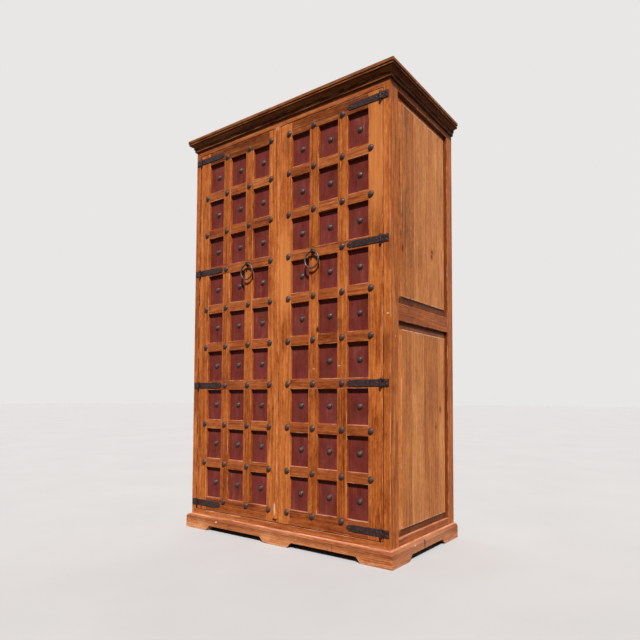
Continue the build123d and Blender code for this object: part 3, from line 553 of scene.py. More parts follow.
def placed_by_axis(nodes, along):
    """The wood's place on a CAD node, from where its points are, with a tone for each board."""
    place = nodes.coordinates()
    split = nodes.add("SeparateXYZ", {0: place})
    order = {0: (1, 0, 2), 1: (0, 1, 2), 2: (0, 2, 1)}[along]
    turned = nodes.add("CombineXYZ", {k: split.outputs[order[k]] for k in range(3)}).outputs[0]
    cells = nodes.scaled(place, 0.0 if along == 0 else 6.8, 0.0, 0.0 if along == 2 else 2.0)
    cells = nodes.vector("FLOOR", cells)
    random_place = nodes.add("TexWhiteNoise", {0: cells}, noise_dimensions="3D")
    shift = nodes.scaled(random_place.outputs["Color"], 0.08, 9.0, 0.0)
    shift = nodes.vector("ADD", shift, (-0.04, 0.0, 0.42))
    return nodes.vector("ADD", turned, shift), random_place.outputs["Value"]


def oxblood():
    """Panels stained dark red, rubbed thin in places and dusty."""
    nodes = Nodes(bpy.data.materials.new("oxblood_panels"))
    place = nodes.attribute("grain", "Vector")
    streaks = nodes.grained(place, 120.0, 4.0, 3.0, 0.6)
    clouds = nodes.grained(place, 24.0, 13.0, 4.0, 0.62)
    fibres = nodes.grained(place, 700.0, 22.0)
    shade = nodes.math("ADD", nodes.math("MULTIPLY", streaks, 0.45), nodes.math("MULTIPLY", clouds, 0.75))
    tone = nodes.math("SUBTRACT", nodes.attribute("tone"), 0.5)
    shade = nodes.math("ADD", shade, nodes.math("MULTIPLY", tone, 0.20))
    base = nodes.ramp(shade, OXBLOOD)
    plum = nodes.grained(place, 19.0, 11.0)
    base = nodes.mix(nodes.between(plum, 0.52, 0.72, 0.0, 0.55), base, colour(118, 50, 56))
    base = nodes.mix(nodes.between(plum, 0.28, 0.46, 0.55, 0.0), base, colour(98, 54, 42))
    # Darker towards each panel's border, where it meets the frame: painted shade in that corner, and
    # grime.
    grime_and_shade = nodes.math("MULTIPLY", nodes.attribute("edge"), nodes.between(clouds, 0.25, 0.65))
    base = nodes.mix(nodes.between(grime_and_shade, 0.25, 0.95, 0.0, 0.6), base, colour(72, 27, 22))
    rough = nodes.between(clouds, 0.3, 0.7, 0.36, 0.56)
    return nodes.finish(base, rough, nodes.math("ADD", fibres, streaks), 0.16, 0.0005, 0.06)


def iron(name, stops, foot_shade=None, gloss=0.38, shine=0.30, metal=0.08):
    """Forged iron, dark and waxed, with hammer marks and a little rust.

    foot_shade is the colour that a dome darkens to at its foot, a painted shade, for the panel studs,
    whose tops stay paler.
    """
    nodes = Nodes(bpy.data.materials.new(name))
    place = nodes.coordinates()
    clouds = nodes.noise(place, 75.0, 3.0, 0.6)
    specks = nodes.noise(place, 330.0, 2.0, 0.6)
    shade = nodes.math("ADD", nodes.math("MULTIPLY", clouds, 0.45), nodes.math("MULTIPLY", specks, 0.55))
    base = nodes.ramp(shade, stops)
    if foot_shade:
        edge = nodes.attribute("edge")
        # Painted shade: the dome darkens towards its foot.
        base = nodes.mix(nodes.between(edge, 0.10, 0.75, 1.0, 0.0), foot_shade, base)
        base = nodes.mix(nodes.between(edge, 0.84, 0.90), base, FLANGE)
    rough = nodes.between(clouds, 0.3, 0.7, gloss, gloss + 0.20)
    return nodes.finish(base, rough, nodes.noise(place, 170.0), 0.7, 0.0015, shine, metal)


def plain_floor():
    """The pale floor that the cabinet stands on, which throws only a little light back at it."""
    nodes = Nodes(bpy.data.materials.new("pale_floor"))
    place = nodes.coordinates()
    pale = [(0.35, colour(181, 181, 183)), (0.65, colour(185, 185, 187))]
    base = nodes.ramp(nodes.noise(place, 1.3, 4.0, 0.6), pale)
    base = nodes.mix(nodes.seen(), colour(*FLOOR_BOUNCE), base)
    return nodes.finish(base, 0.85, nodes.noise(place, 180.0, 2.0, 0.6), 0.15, 0.001, 0.2)


# Marks on the wood: centre, and how far each reaches along X, Y and Z. Most are marks of age; the dark
# spot at the astragal's foot is a painted shadow, and the pale lines along the doors' top edges are a
# painted highlight with wear.
SIDE_KNOTS = [
    ((0.604, -0.1925, 1.347), (0.020, 0.014, 0.022)),
    ((0.607, 0.107, 1.394), (0.020, 0.013, 0.014)),
    ((0.607, 0.104, 1.371), (0.020, 0.012, 0.014)),
    ((0.607, 0.143, 0.557), (0.020, 0.009, 0.014)),
    ((0.607, 0.192, 0.640), (0.020, 0.009, 0.022)),
    ((-0.607, -0.060, 1.560), (0.020, 0.012, 0.017)),
    ((-0.607, 0.170, 0.700), (0.020, 0.011, 0.015)),
]
AROUND_KNOTS = [(centre, tuple(2.4 * value for value in reach)) for centre, reach in SIDE_KNOTS]
SOFT_STAINS = [
    ((0.590, -0.307, 0.914), (0.024, 0.020, 0.100)),
    ((0.600, -0.307, 1.330), (0.018, 0.030, 0.160)),
    ((0.350, -0.307, 1.020), (0.030, 0.010, 0.040)),
    ((0.036, -0.307, 1.915), (0.040, 0.010, 0.085)),
    ((-0.006, -0.314, 1.837), (0.009, 0.012, 0.034)),
    ((-0.590, -0.307, 0.700), (0.018, 0.020, 0.120)),
]
SUNNED = [
    ((0.540, -0.307, 1.730), (0.060, 0.020, 0.420)),
    ((0.030, -0.307, 1.300), (0.060, 0.020, 0.320)),
]
DARK_SPOTS = [
    ((0.231, -0.307, 1.004), (0.012, 0.020, 0.019)),
    # A painted shadow at the astragal's foot, where it stops short of the door's bottom.
    ((-0.016, -0.314, 0.108), (0.022, 0.012, 0.016)),
    ((-0.030, -0.307, 0.640), (0.010, 0.010, 0.028)),
]
PALE_CHIPS = [
    ((0.5985, -0.307, 1.048), (0.007, 0.010, 0.005)),
    ((0.3518, -0.307, 0.8344), (0.013, 0.008, 0.0025)),
    ((0.212, -0.307, 0.826), (0.010, 0.008, 0.0018)),
    ((-0.014, -0.314, 0.165), (0.007, 0.008, 0.040)),
    ((0.610, -0.262, 0.955), (0.010, 0.004, 0.006)),
]
# Pale lines along the doors' top edges: a painted highlight where the light catches them, and rubbed wear.
WORN_AND_LIT_TOPS = [
    ((-0.016, -0.314, 2.012), (0.024, 0.012, 0.012)),
    ((0.036, -0.307, 2.018), (0.020, 0.010, 0.006)),
    ((0.300, -0.307, 2.019), (0.160, 0.010, 0.005)),
    ((-0.300, -0.307, 2.019), (0.160, 0.010, 0.005)),
]
BASE_BLEACHED = [
    ((0.636, -0.010, 0.046), (0.030, 0.380, 0.060)),
    ((-0.636, 0.060, 0.046), (0.030, 0.330, 0.060)),
]
BASE_CRACKS = [
    ((0.630, -0.031, 0.047), (0.010, 0.008, 0.034)),
    ((0.330, -0.327, 0.040), (0.002, 0.010, 0.030)),
]
BASE_CHIPS = [
    ((0.628, -0.125, 0.057), (0.010, 0.009, 0.006)),
    ((-0.400, -0.327, 0.052), (0.012, 0.010, 0.004)),
]


def palette(places, *shades):
    """Stops of a ramp, from dark to pale, with each shade as it looks on screen."""
    return [(place, colour(*shade)) for place, shade in zip(places, shades)]


WOOD_STOPS = (0.14, 0.38, 0.58, 0.76, 0.95)
HONEY = palette(WOOD_STOPS, (98, 40, 12), (146, 73, 28), (178, 97, 45), (200, 118, 58), (218, 146, 84))
BROWN = palette(WOOD_STOPS, (76, 31, 12), (124, 60, 27), (154, 79, 38), (172, 97, 50), (194, 124, 74))
TAWNY = palette(WOOD_STOPS, (106, 54, 20), (158, 90, 42), (192, 115, 60), (210, 136, 77),
                (226, 160, 102))
UMBER = palette(WOOD_STOPS, (50, 20, 6), (90, 43, 18), (118, 58, 26), (138, 75, 38), (170, 104, 64))
BASE = palette(WOOD_STOPS, (108, 54, 30), (154, 84, 46), (186, 109, 66), (207, 131, 83), (224, 158, 112))
PALE = palette(WOOD_STOPS, (128, 84, 46), (174, 122, 72), (198, 148, 94), (212, 166, 112),
               (224, 184, 134))
CORNICE = palette(WOOD_STOPS, (62, 30, 14), (106, 60, 30), (138, 82, 45), (160, 103, 62), (188, 132, 90))
OXBLOOD = palette((0.34, 0.54, 0.70, 0.88), (84, 28, 22), (105, 43, 36), (117, 53, 46), (140, 78, 70))
BLACK = palette((0.36, 0.47, 0.58, 0.70), (20, 11, 12), (40, 27, 29), (64, 43, 43), (108, 76, 66))
IRON_STOPS = (0.36, 0.50, 0.62, 0.74)
BRIGHT = palette(IRON_STOPS, (40, 30, 28), (72, 56, 52), (110, 88, 80), (150, 126, 114))
RUBBED_IRON = palette(IRON_STOPS, (46, 31, 28), (66, 45, 41), (84, 60, 54), (104, 76, 66))
DUSTY = palette(IRON_STOPS, (66, 44, 38), (86, 60, 54), (104, 76, 69), (124, 92, 84))
REDDER = (1.0, 0.80, 0.72, 1.0)
STAIN_AND_SHADE_TINT = colour(140, 118, 112)
FLANGE = colour(118, 60, 57)
WORN = colour(230, 168, 132)
UPWARD_PALE = colour(206, 158, 136)
# Near black, for dark marks and cracks, and for the painted shadow at the astragal's foot.
DARK_MARK_AND_SHADE = colour(52, 26, 16)
CHIP = colour(236, 196, 160)
HONEY_PINE = wood("pine_honey", HONEY, colour(222, 152, 108), marks=(
    (SUNNED, colour(222, 140, 76), 0.6), (SOFT_STAINS, colour(104, 48, 24), 0.5),
    (DARK_SPOTS, DARK_MARK_AND_SHADE, 0.9), (PALE_CHIPS, CHIP, 0.75), (WORN_AND_LIT_TOPS, colour(212, 140, 104), 0.6),
))
BROWN_PINE = wood("pine_brown", BROWN, colour(222, 164, 134))
TAWNY_PINE = wood("pine_tawny", TAWNY, colour(238, 190, 162), marks=(
    (AROUND_KNOTS, colour(166, 84, 34), 0.5), (SIDE_KNOTS, colour(112, 40, 8), 1.0),
))
CORNICE_PINE = wood("pine_cornice", CORNICE, colour(190, 122, 78), sheen=0.04, upward_paleness=0.22)
UMBER_PINE = wood("pine_umber", UMBER, colour(176, 112, 70), sheen=0.05)
BASE_PINE = wood("pine_base", BASE, WORN, contrast=1.2, marks=(
    (BASE_BLEACHED, colour(206, 142, 104), 0.45), (BASE_CRACKS, DARK_MARK_AND_SHADE, 0.95), (BASE_CHIPS, CHIP, 1.0),
))
INSIDE_X, INSIDE_Y, INSIDE_Z = [
    wood(f"pine_inside_{axis}", PALE, WORN, place_axis=number, gloss=0.6)
    for number, axis in enumerate("xyz")
]
PANEL_RED = oxblood()
IRON = iron("iron", BLACK, shine=0.24)
RING_IRON = iron("iron_ring", BRIGHT, gloss=0.26, shine=0.60, metal=0.35)
STUD_IRON = iron("iron_studs", RUBBED_IRON)
DUSTY_IRON = iron("iron_dusty", DUSTY, foot_shade=colour(50, 29, 25))


# ---- Carcass
def side_frames():
    """Posts, rails and raised panels of both sides, with the grain along each of them."""
    for number, (side, sign) in enumerate(SIDES):
        # The post's inner face, in the gap beside the door, is darkened as painted shade.
        board_piece(f"{side}_front_post", "carcass", HONEY_PINE, 2, 0, 100 + number,
                    soak_of=lambda point: 0.9 if abs(point.x) < POST_INNER + ARRIS else 0.0)
        back_post(side, sign, 110 + number)
        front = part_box(f"{side}_front_post")[1].y
        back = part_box(f"{side}_back_post")[0].y
        low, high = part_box(f"{side}_side_rails")
        edges = (low.z, low.z + SIDE_BOTTOM_RAIL, *SIDE_MIDDLE_RAIL, high.z - SIDE_TOP_RAIL, high.z)
        rails = Piece(f"{side}_side_rails_boards", random.Random(120 + number))
        for foot, top, tone in zip(edges[::2], edges[1::2], SIDE_RAIL_TONES_AND_LIGHT):
            board(rails, (low.x, front, foot), (high.x, back, top), 1, 0, tone=tone)
        rails.build("carcass", BROWN_PINE, "pine", f"{side}_side_rails")
        heights = zip(edges[1::2], edges[2::2])
        raised_panels(side, sign, front, back, heights, random.Random(130 + number))


def back_post(side, sign, seed):
    """A back post, with the step that takes the back boards."""
    piece = Piece(f"{side}_back_post_board", random.Random(seed))
    low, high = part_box(f"{side}_back_post")
    boards_low, boards_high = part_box("back_boards")
    inner, outer = (low.x, high.x) if sign > 0 else (high.x, low.x)
    rebate = sign * boards_high.x
    xs = sorted((rebate, outer))
    # Its face towards the side panel, the wall of the recess behind the panel's back bevel, is darkened as
    # painted shade.
    board(piece, (xs[0], low.y, low.z), (xs[1], high.y, high.z), 2, 0,
          soak_of=lambda point: 0.75 if point.y < low.y + ARRIS else 0.0)
    xs = sorted((inner, rebate))
    board(piece, (xs[0], low.y, low.z), (xs[1], boards_low.y, high.z), 2, 0)
    piece.build("carcass", HONEY_PINE, "pine", f"{side}_back_post")


PANEL_STEPS = [  # inset from the frame and depth behind the frame's face, in mm
    (0.0, 15.0), (17.0, 10.6), (33.4, 6.15), (34.0, 5.8), (34.15, 3.7), (34.5, 3.2), (35.3, 3.0),
    (37.0, 3.0), (39.5, 3.0),
]
BEVEL_WIDTH = 34.1 * MM
RIM_WIDTH = 3.2 * MM  # of the pale line around the raised field, worn, and along its top also a painted highlight
FIELD_INSET = 36 * MM  # from the frame to where the field is uneven
FIELD_RIPPLE = 0.5 * MM
FIELD_STEP = 60 * MM  # between the lines that divide the field
FIELD_MARGIN = 42 * MM  # from the frame to the first of them
# Painted shade on the bevels: deepest on the upper ones, in the shadow of the rails and cornice, then the
# lower and back ones, which face away from the light.
FRONT_BEVEL_SHADE, BACK_BEVEL_SHADE, LOWER_BEVEL_SHADE, UPPER_BEVEL_SHADE = 0.2, 0.75, 0.78, 1.0
UPPER_RIM, LOWER_RIM, UPRIGHT_RIM = 2.2, 1.0, 0.6  # how far each side of that line is worn, and along the top also lit as a painted highlight
FIELD_BOARDS = 4


def panel_depth(inset):
    """Depth of a raised panel's surface behind its frame's face, at an inset from the frame."""
    for (start, deep), (end, shallow) in zip(PANEL_STEPS, PANEL_STEPS[1:]):
        if inset * 1000 < end:
            share = max(0.0, (inset * 1000 - start) / (end - start))
            return (deep + (shallow - deep) * share) * MM
    return PANEL_STEPS[-1][1] * MM


def raised_panels(side, sign, front, back, heights, rng):
    """Two raised panels, each glued up from upright boards, with a sloping border all round."""
    piece = Piece(f"{side}_side_panels_boards", rng)
    face = sign * HALF_WIDTH
    back_x = face - sign * (PANEL_SETBACK + PANEL_THICKNESS)
    for bottom, top in heights:
        seams = sorted(rng.uniform(0.20, 0.30) + 0.26 * k for k in range(FIELD_BOARDS - 1))
        seams = [front] + [front + (back - front) * seam for seam in seams] + [back]
        rows = panel_lines(bottom, top, bottom, top)
        for first, last in zip(seams, seams[1:]):
            columns = panel_lines(first, last, front, back)
            place = place_in_tree((face - sign * 0.02, first, bottom), (face, last, top), 2, 0, rng)
            points, grain, edge, soak = [], [], [], []
            for y in columns:
                for z in rows:
                    reaches = y - front, back - y, z - bottom, top - z
                    depth = panel_depth(min(reaches))
                    if min(reaches) > FIELD_INSET:
                        depth += FIELD_RIPPLE * ripple_at((y, z, sign))
                    points.append((face - sign * depth, y, z))
                    grain.append(place((face, y, z)))
                    worn_and_lit, shaded = panel_marks(*reaches)
                    edge.append(worn_and_lit)
                    soak.append(shaded)
            faces = panel_faces(points, len(columns), len(rows), sign)
            ends = first == front, last == back
            behind = board_behind(points, faces, len(columns), len(rows), back_x, *ends)
            grain += [place(point) for point in behind]
            unworn = [0.0] * len(behind)
            piece.add(points + behind, faces, rng.random(), edge + unworn, grain, soak + unworn)
    piece.build("carcass", TAWNY_PINE, "pine", f"{side}_side_panels")


def panel_marks(from_front, from_back, from_foot, from_top):
    """How pale a raised panel's rim is, worn and along the top a painted highlight, and how far its bevels
    are darkened as painted shade, at its distances from the frame around it.
    """
    end_inset = min(from_foot, from_top)
    inset = min(from_front, from_back, end_inset)
    on_end = end_inset <= inset + 1 * MM
    upper = from_top < from_foot
    if inset >= BEVEL_WIDTH + RIM_WIDTH:
        return 0.0, 0.0
    if inset > BEVEL_WIDTH:
        return (UPPER_RIM if upper else LOWER_RIM) if on_end else UPRIGHT_RIM, 0.0
    if on_end:
        return 0.0, UPPER_BEVEL_SHADE if upper else LOWER_BEVEL_SHADE
    return 0.0, BACK_BEVEL_SHADE if from_back < from_front else FRONT_BEVEL_SHADE


def panel_lines(first, last, low, high):
    """Where a raised panel's surface is divided, from first to last, in an opening low to high."""
    insets = [inset * MM for inset, _ in PANEL_STEPS]
    marks = [low + inset for inset in insets] + [high - inset for inset in insets]
    lines = {first, last} | {mark for mark in marks if first < mark < last}
    count = max(1, round((last - first) / FIELD_STEP))
    for k in range(1, count):
        line = first + (last - first) * k / count
        if low + FIELD_MARGIN < line < high - FIELD_MARGIN:
            lines.add(line)
    return sorted(lines)


def panel_faces(points, columns, rows, sign):
    """Triangles over a grid of points, each cell cut along its mitre."""
    faces = []
    for i in range(columns - 1):
        for j in range(rows - 1):
            a, b = i * rows + j, (i + 1) * rows + j
            c, d = b + 1, a + 1
            heights = [sign * points[k][0] for k in (a, b, c, d)]
            if abs(heights[0] - heights[2]) >= abs(heights[1] - heights[3]):
                faces += [[a, b, c], [a, c, d]]
            else:
                faces += [[a, b, d], [b, c, d]]
    return faces


def board_behind(points, faces, columns, rows, back_x, is_first, is_last):
    """Close a board behind its front, which is a grid of points, and return the points of its back.

    The boards of a panel meet, so only the first and the last have an upright side.
    """
    border = [(i, 0) for i in range(columns)]
    border += [(columns - 1, j) for j in range(1, rows - 1) if is_last]
    border += [(i, rows - 1) for i in reversed(range(columns))]
    border += [(0, j) for j in reversed(range(1, rows - 1)) if is_first]
    start, size = len(points), len(border)
    for k, (i, j) in enumerate(border):
        following = (k + 1) % size
        next_i, next_j = border[following]
        if abs(next_j - j) <= 1:
            faces.append([i * rows + j, next_i * rows + next_j, start + following, start + k])
    faces.append([start + k for k in range(size)])
    return [(back_x, *points[i * rows + j][1:]) for i, j in border]


def face_rails():
    """The rails over and under the doors."""
    board_piece("face_top_rail", "carcass", BROWN_PINE, 0, 1, 140)
    board_piece("face_bottom_rail", "carcass", BROWN_PINE, 0, 1, 141)


def kept_shapes():
    """What the doors hide, and the small ironwork, keep their CAD shape and get a material."""
    kept = (
        (INSIDE_X, ("back_rails", "floor_board", "shelves", "door_stop", "plinth_back",
                    "centre_foot_block")),
        (INSIDE_Y, ("cleats",)),
        (INSIDE_Z, ("back_boards",)),
        (IRON, ("hinge_leaves", "hinge_pins", "leaf_nails", "left_strap_nails", "right_strap_nails",
                "left_ring_eye", "right_ring_eye")),
    )
    for material, nodes in kept:
        for node in nodes:
            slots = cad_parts[node].data.materials
            slots.clear()
            slots.append(material)


# ---- Cornice, top and plinth
def front_run(share, outward, up):
    """Where a point of a section lies in a front length, mitred at both ends."""
    reach = HALF_WIDTH + outward
    return Vector((-reach + 2 * reach * share, FRONT - outward, up))


def side_run(sign):
    """The same for a return, mitred at its front end."""
    def place(share, outward, up):
        start = FRONT - outward
        return Vector((sign * (HALF_WIDTH + outward), start + (BACK - start) * share, up))

    return place


RUNS = (("front", front_run, 44), ("right", side_run(1), 24), ("left", side_run(-1), 24))


def evenly(count):
    """The shares of a run that divide it into that many equal lengths."""
    return [k / count for k in range(count + 1)]


def cornice():
    """From its foot up: a fillet with a rounded edge, a bead, a cove and a rounded nose."""
    bottom = CARCASS_TOP - CORNICE_HEIGHT
    bead = bottom + 19 * MM
    cove_foot = bead + 3 * MM
    nose_foot = CARCASS_TOP - 12 * MM
    section = [(0, bottom), (6 * MM, bottom)]
    section += arc((6 * MM, bottom + 3 * MM), (3 * MM, 3 * MM), -60, 0, 2)
    section += [(9 * MM, bottom + 15.4 * MM), (9.4 * MM, bottom + 16 * MM), (12 * MM, bottom + 16 * MM)]
    section += arc((12 * MM, bead), (3 * MM, 3 * MM), -60, 90, 5)
    section += arc((27 * MM, cove_foot), (15 * MM, nose_foot - cove_foot), 165, 90, 5)
    section += arc((27 * MM, CARCASS_TOP - 6 * MM), (6 * MM, 6 * MM), -80, 90, 7)
    section += [(0, CARCASS_TOP)]

    # Painted shade and light: the fillet under the bead is darkened as shade, and the flats and nose are
    # darkened so the cove, left alone, reads as lit from the floor.
    def soak_of(outward, up):
        if up < bead - 2.8 * MM:
            return 1.0
        return 0.0 if cove_foot < up < nose_foot else 0.7

    for number, (name, run, count) in enumerate(RUNS):
        piece = Piece(f"cornice_{name}_moulding", random.Random(150 + number))
        tone = CORNICE_FRONT_LIGHT_AND_TONE if name == "front" else CORNICE_SIDE_LIGHT_AND_TONE
        moulding(piece, section, run, evenly(count), tone, soak_of)
        piece.build("carcass", CORNICE_PINE, "pine", f"cornice_{name}")


def top_board():
    """The top board, of three planks, with a rounded edge on the front and sides."""
    piece = Piece("top_board_boards", random.Random(160))
    low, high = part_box("top_board")
    seams = [low.y, low.y + 0.21, low.y + 0.45, high.y]
    for first, last in zip(seams, seams[1:]):
        board(piece, (low.x, first, low.z), (high.x, last, high.z), 0, 2, radius=2.5 * MM)
    piece.build("carcass", CORNICE_PINE, "pine", "top_board")


def foot_line(length, gaps):
    """Height of a plinth's lower edge along its run, and where the run is divided."""
    def lift(distance):
        for start, end in gaps:
            inset = min(distance - start, end - distance)
            if inset > 0:
                share = min(1.0, inset / GAP_SLOPE)
                return GAP_RISE * share * share * (3 - 2 * share)
        return 0.0

    marks = {length * share for share in evenly(30)}
    for start, end in gaps:
        for share in evenly(10):
            marks |= {start + GAP_SLOPE * share, end - GAP_SLOPE * share}
    return lift, [mark / length for mark in sorted(marks)]


def plinth():
    """Front and side boards with rounded tops, cut away between their feet."""
    thick, high, radius, step = PLINTH_THICKNESS, PLINTH_HEIGHT, 17 * MM, 2 * MM
    section = [(0, 0), (thick - 1 * MM, 0), (thick, 1.2 * MM), (thick, 27 * MM)]
    section += arc((thick - radius, high - step - radius), (radius, radius), 0, 90, 8)
    section += [(thick - radius - 0.3 * MM, high), (0, high)]
    depth = BACK - FRONT
    front_length = 2 * (HALF_WIDTH + thick)
    gap = (CORNER_FOOT + thick, HALF_WIDTH - MIDDLE_FOOT_HALF + thick)
    front_gaps = [gap, (front_length - gap[1], front_length - gap[0])]
    side_gaps = [(SIDE_FRONT_FOOT + thick, depth - SIDE_BACK_FOOT + thick)]
    for number, (name, run, _) in enumerate(RUNS):
        length = front_length if name == "front" else depth + thick
        lift, shares = foot_line(length, front_gaps if name == "front" else side_gaps)
        piece = Piece(f"plinth_{name}_board", random.Random(170 + number))
        moulding(piece, section, run, shares, PLINTH_TONE,
                 lambda outward, up: 0.6 if 35 * MM < up < high - 1 * MM else 0.0,
                 lambda share: lift(share * length))
        piece.build("carcass", BASE_PINE, "pine", f"plinth_{name}")


# ---- Doors
def column_left(column):
    """Where a column of the right-hand door's openings begins, on the side of the meeting stile."""
    return FIELD_LEFT + column * (OPENING_WIDTH + MUNTIN_WIDTH)


def row_bottom(row):
    """Level of the lower edge of a row of openings, counted from the top."""
    return FIELD_TOP - OPENING_HEIGHT - row * (OPENING_HEIGHT + BAR_HEIGHT)


def bar_level(bar):
    """The middle of a bar of the lattice, counted from the top rail, 0, to the bottom rail."""
    if bar == 0:
        return (FIELD_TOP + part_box("right_top_rail")[1].z) / 2
    if bar == ROWS:
        return (FIELD_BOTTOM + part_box("right_bottom_rail")[0].z) / 2
    return row_bottom(bar - 1) - BAR_HEIGHT / 2


def muntin_centre(number):
    """The middle of the muntin before that column."""
    return column_left(number) - MUNTIN_WIDTH / 2


def span(sign, left, right):
    """The x range of something drawn on the right-hand door, on the door of that sign."""
    return sorted((sign * left, sign * right))


def door_frame(side, sign, seed):
    """The frame and the lattice of a door, each bar set back by a hair of its own."""
    rng = random.Random(seed)
    door_foot, door_head = (corner.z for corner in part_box(f"{side}_hinge_stile"))
    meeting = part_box("right_meeting_stile")[0].x
    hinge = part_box("right_hinge_stile")[1].x
    bars = {
        "hinge_stile": [(FIELD_RIGHT, hinge, door_foot, door_head)],
        "meeting_stile": [(meeting, FIELD_LEFT, door_foot, door_head)],
        "top_rail": [(FIELD_LEFT, FIELD_RIGHT, FIELD_TOP, door_head)],
        "bottom_rail": [(FIELD_LEFT, FIELD_RIGHT, door_foot, FIELD_BOTTOM)],
        "upper_lock_rail": [(FIELD_LEFT, FIELD_RIGHT, *bar_edges(ROWS_PER_SECTION))],
        "lower_lock_rail": [(FIELD_LEFT, FIELD_RIGHT, *bar_edges(2 * ROWS_PER_SECTION))],
        "muntins": [
            (column_left(column) - MUNTIN_WIDTH, column_left(column),
             row_bottom(first + ROWS_PER_SECTION - 1), row_bottom(first) + OPENING_HEIGHT)
            for first in range(0, ROWS, ROWS_PER_SECTION)
            for column in range(1, COLUMNS)
        ],
        "cross_bars": [
            (column_left(column), column_left(column) + OPENING_WIDTH, *bar_edges(bar))
            for bar in range(1, ROWS) if bar % ROWS_PER_SECTION
            for column in range(COLUMNS)
        ],
    }
    for name, places in bars.items():
        upright = name.endswith("stile") or name == "muntins"
        piece = Piece(f"{side}_{name}_boards", rng)
        for left, right, bottom, top in places:
            face = FRONT + rng.uniform(0, 0.5) * MM
            low_x, high_x = span(sign, left, right)
            low, high = (low_x, face, bottom), (high_x, FRONT + DOOR_THICKNESS, top)
            board(piece, low, high, 2 if upright else 0, 1, tone=TONES.get(f"{side}_{name}", USUAL_TONE))
        material = HONEY_PINE if upright else UMBER_PINE if name == "top_rail" else BROWN_PINE
        piece.build(f"{side}_door", material, "pine", f"{side}_{name}")


def bar_edges(bar):
    """The lower and the upper edge of a bar between two openings."""
    return bar_level(bar) - BAR_HEIGHT / 2, bar_level(bar) + BAR_HEIGHT / 2


def door_panels(side, sign, seed):
    """The flat panels in a door's openings, which go a little way into the frame."""
    piece = Piece(f"{side}_panels_boards", random.Random(seed))
    front = FRONT + PANEL_SETBACK
    for row in range(ROWS):
        bottom, top = row_bottom(row) - PANEL_TONGUE, row_bottom(row) + OPENING_HEIGHT + PANEL_TONGUE
        for column in range(COLUMNS):
            low_x, high_x = span(sign, column_left(column), column_left(column) + OPENING_WIDTH)
            board(piece, (low_x - PANEL_TONGUE, front, bottom),
                  (high_x + PANEL_TONGUE, front + PANEL_THICKNESS, top), 2, 1,
                  radius=0.8 * MM, fade=16 * MM, ripple=0.6 * MM)
    piece.build(f"{side}_door", PANEL_RED, "oxblood_panels", f"{side}_panels")


def astragal():
    """The strip on the left-hand door's meeting edge."""
    board_piece("left_astragal", "left_door", HONEY_PINE, 2, 1, 230, radius=2.4 * MM)


# ---- Ironwork
def cap_profile(radius, rise, base):
    """A spherical cap of that radius and rise, standing on a base, as (radius, height)."""
    ball = (radius**2 + rise**2) / (2 * rise)
    widest = math.asin(min(1.0, radius / ball))
    angles = [widest * (1 - k / CAP_RINGS) for k in range(CAP_RINGS)] + [widest * 0.06]
    return [(ball * math.sin(a), base + ball * math.cos(a) - (ball - rise)) for a in angles]


def lattice_studs(side, sign, seed):
    """The studs where the bars of the lattice cross, but for the places of the straps and the ring."""
    piece = Piece(f"{side}_lattice_studs_heads", random.Random(seed))
    columns = [FIELD_LEFT - STUD_INSET, muntin_centre(1), muntin_centre(2), FIELD_RIGHT + STUD_INSET]
    levels = [FIELD_TOP + STUD_INSET] + [bar_level(bar) for bar in range(1, ROWS)]
    levels.append(FIELD_BOTTOM - STUD_INSET)
    profile = [(STUD_RADIUS * 0.97, 0.0)] + cap_profile(STUD_RADIUS, STUD_RISE, 0.2 * MM)
    for bar, level in enumerate(levels):
        for column, x in enumerate(columns):
            under_strap = bar % ROWS_PER_SECTION == 0 and column == COLUMNS
            under_ring = bar == ROWS_PER_SECTION and column == 1
            if under_strap or under_ring:
                continue
            turn = FACING @ Matrix.Scale(piece.rng.uniform(0.95, 1.0), 3)
            centre = Vector((sign * x, FRONT, level)) + LATTICE_STUD_SHIFT
            lathe(piece, profile, turn, centre, 0.10)
    piece.build(f"{side}_door", STUD_IRON, "iron", f"{side}_lattice_studs")


def panel_studs(side, sign, seed):
    """A stud on a thin flange in the middle of each panel."""
    piece = Piece(f"{side}_panel_studs_heads", random.Random(seed))
    profile = [(FLANGE_RADIUS, 0.0), (FLANGE_RADIUS, 0.8 * MM)]
    profile += [(FLANGE_RADIUS - 0.7 * MM, FLANGE_THICKNESS)]
    profile += cap_profile(PANEL_STUD_RADIUS, PANEL_STUD_RISE, FLANGE_THICKNESS)
    for row in range(ROWS):
        for column in range(COLUMNS):
            if side == "right" and (row + 1, column + 1) == MISSING_STUD:
                continue
            x = column_left(column) + OPENING_WIDTH / 2
            z = row_bottom(row) + OPENING_HEIGHT / 2
            centre = Vector((sign * x, FRONT + PANEL_SETBACK, z)) + PANEL_STUD_SHIFT
            lathe(piece, profile, FACING, centre, 0.08)
    piece.build(f"{side}_door", DUSTY_IRON, "iron", f"{side}_panel_studs")


STRAP_OUTLINE = [  # distance from the inner face of the post and half the strap's height there, in mm
    (15, 15.3), (40, 15.5), (70, 15.2), (110, 15.4), (140, 15.2), (148, 15.0), (153, 13.2), (157, 12.0),
    (160, 13.2), (162, 14.4), (165, 15.4), (168, 14.4), (172, 11.6), (176, 8.2), (180, 4.6), (182, 2.2),
]
STRAP_ROWS = (-1.0, -0.94, -0.62, -0.2, 0.2, 0.62, 0.94, 1.0)  # shares of the half height


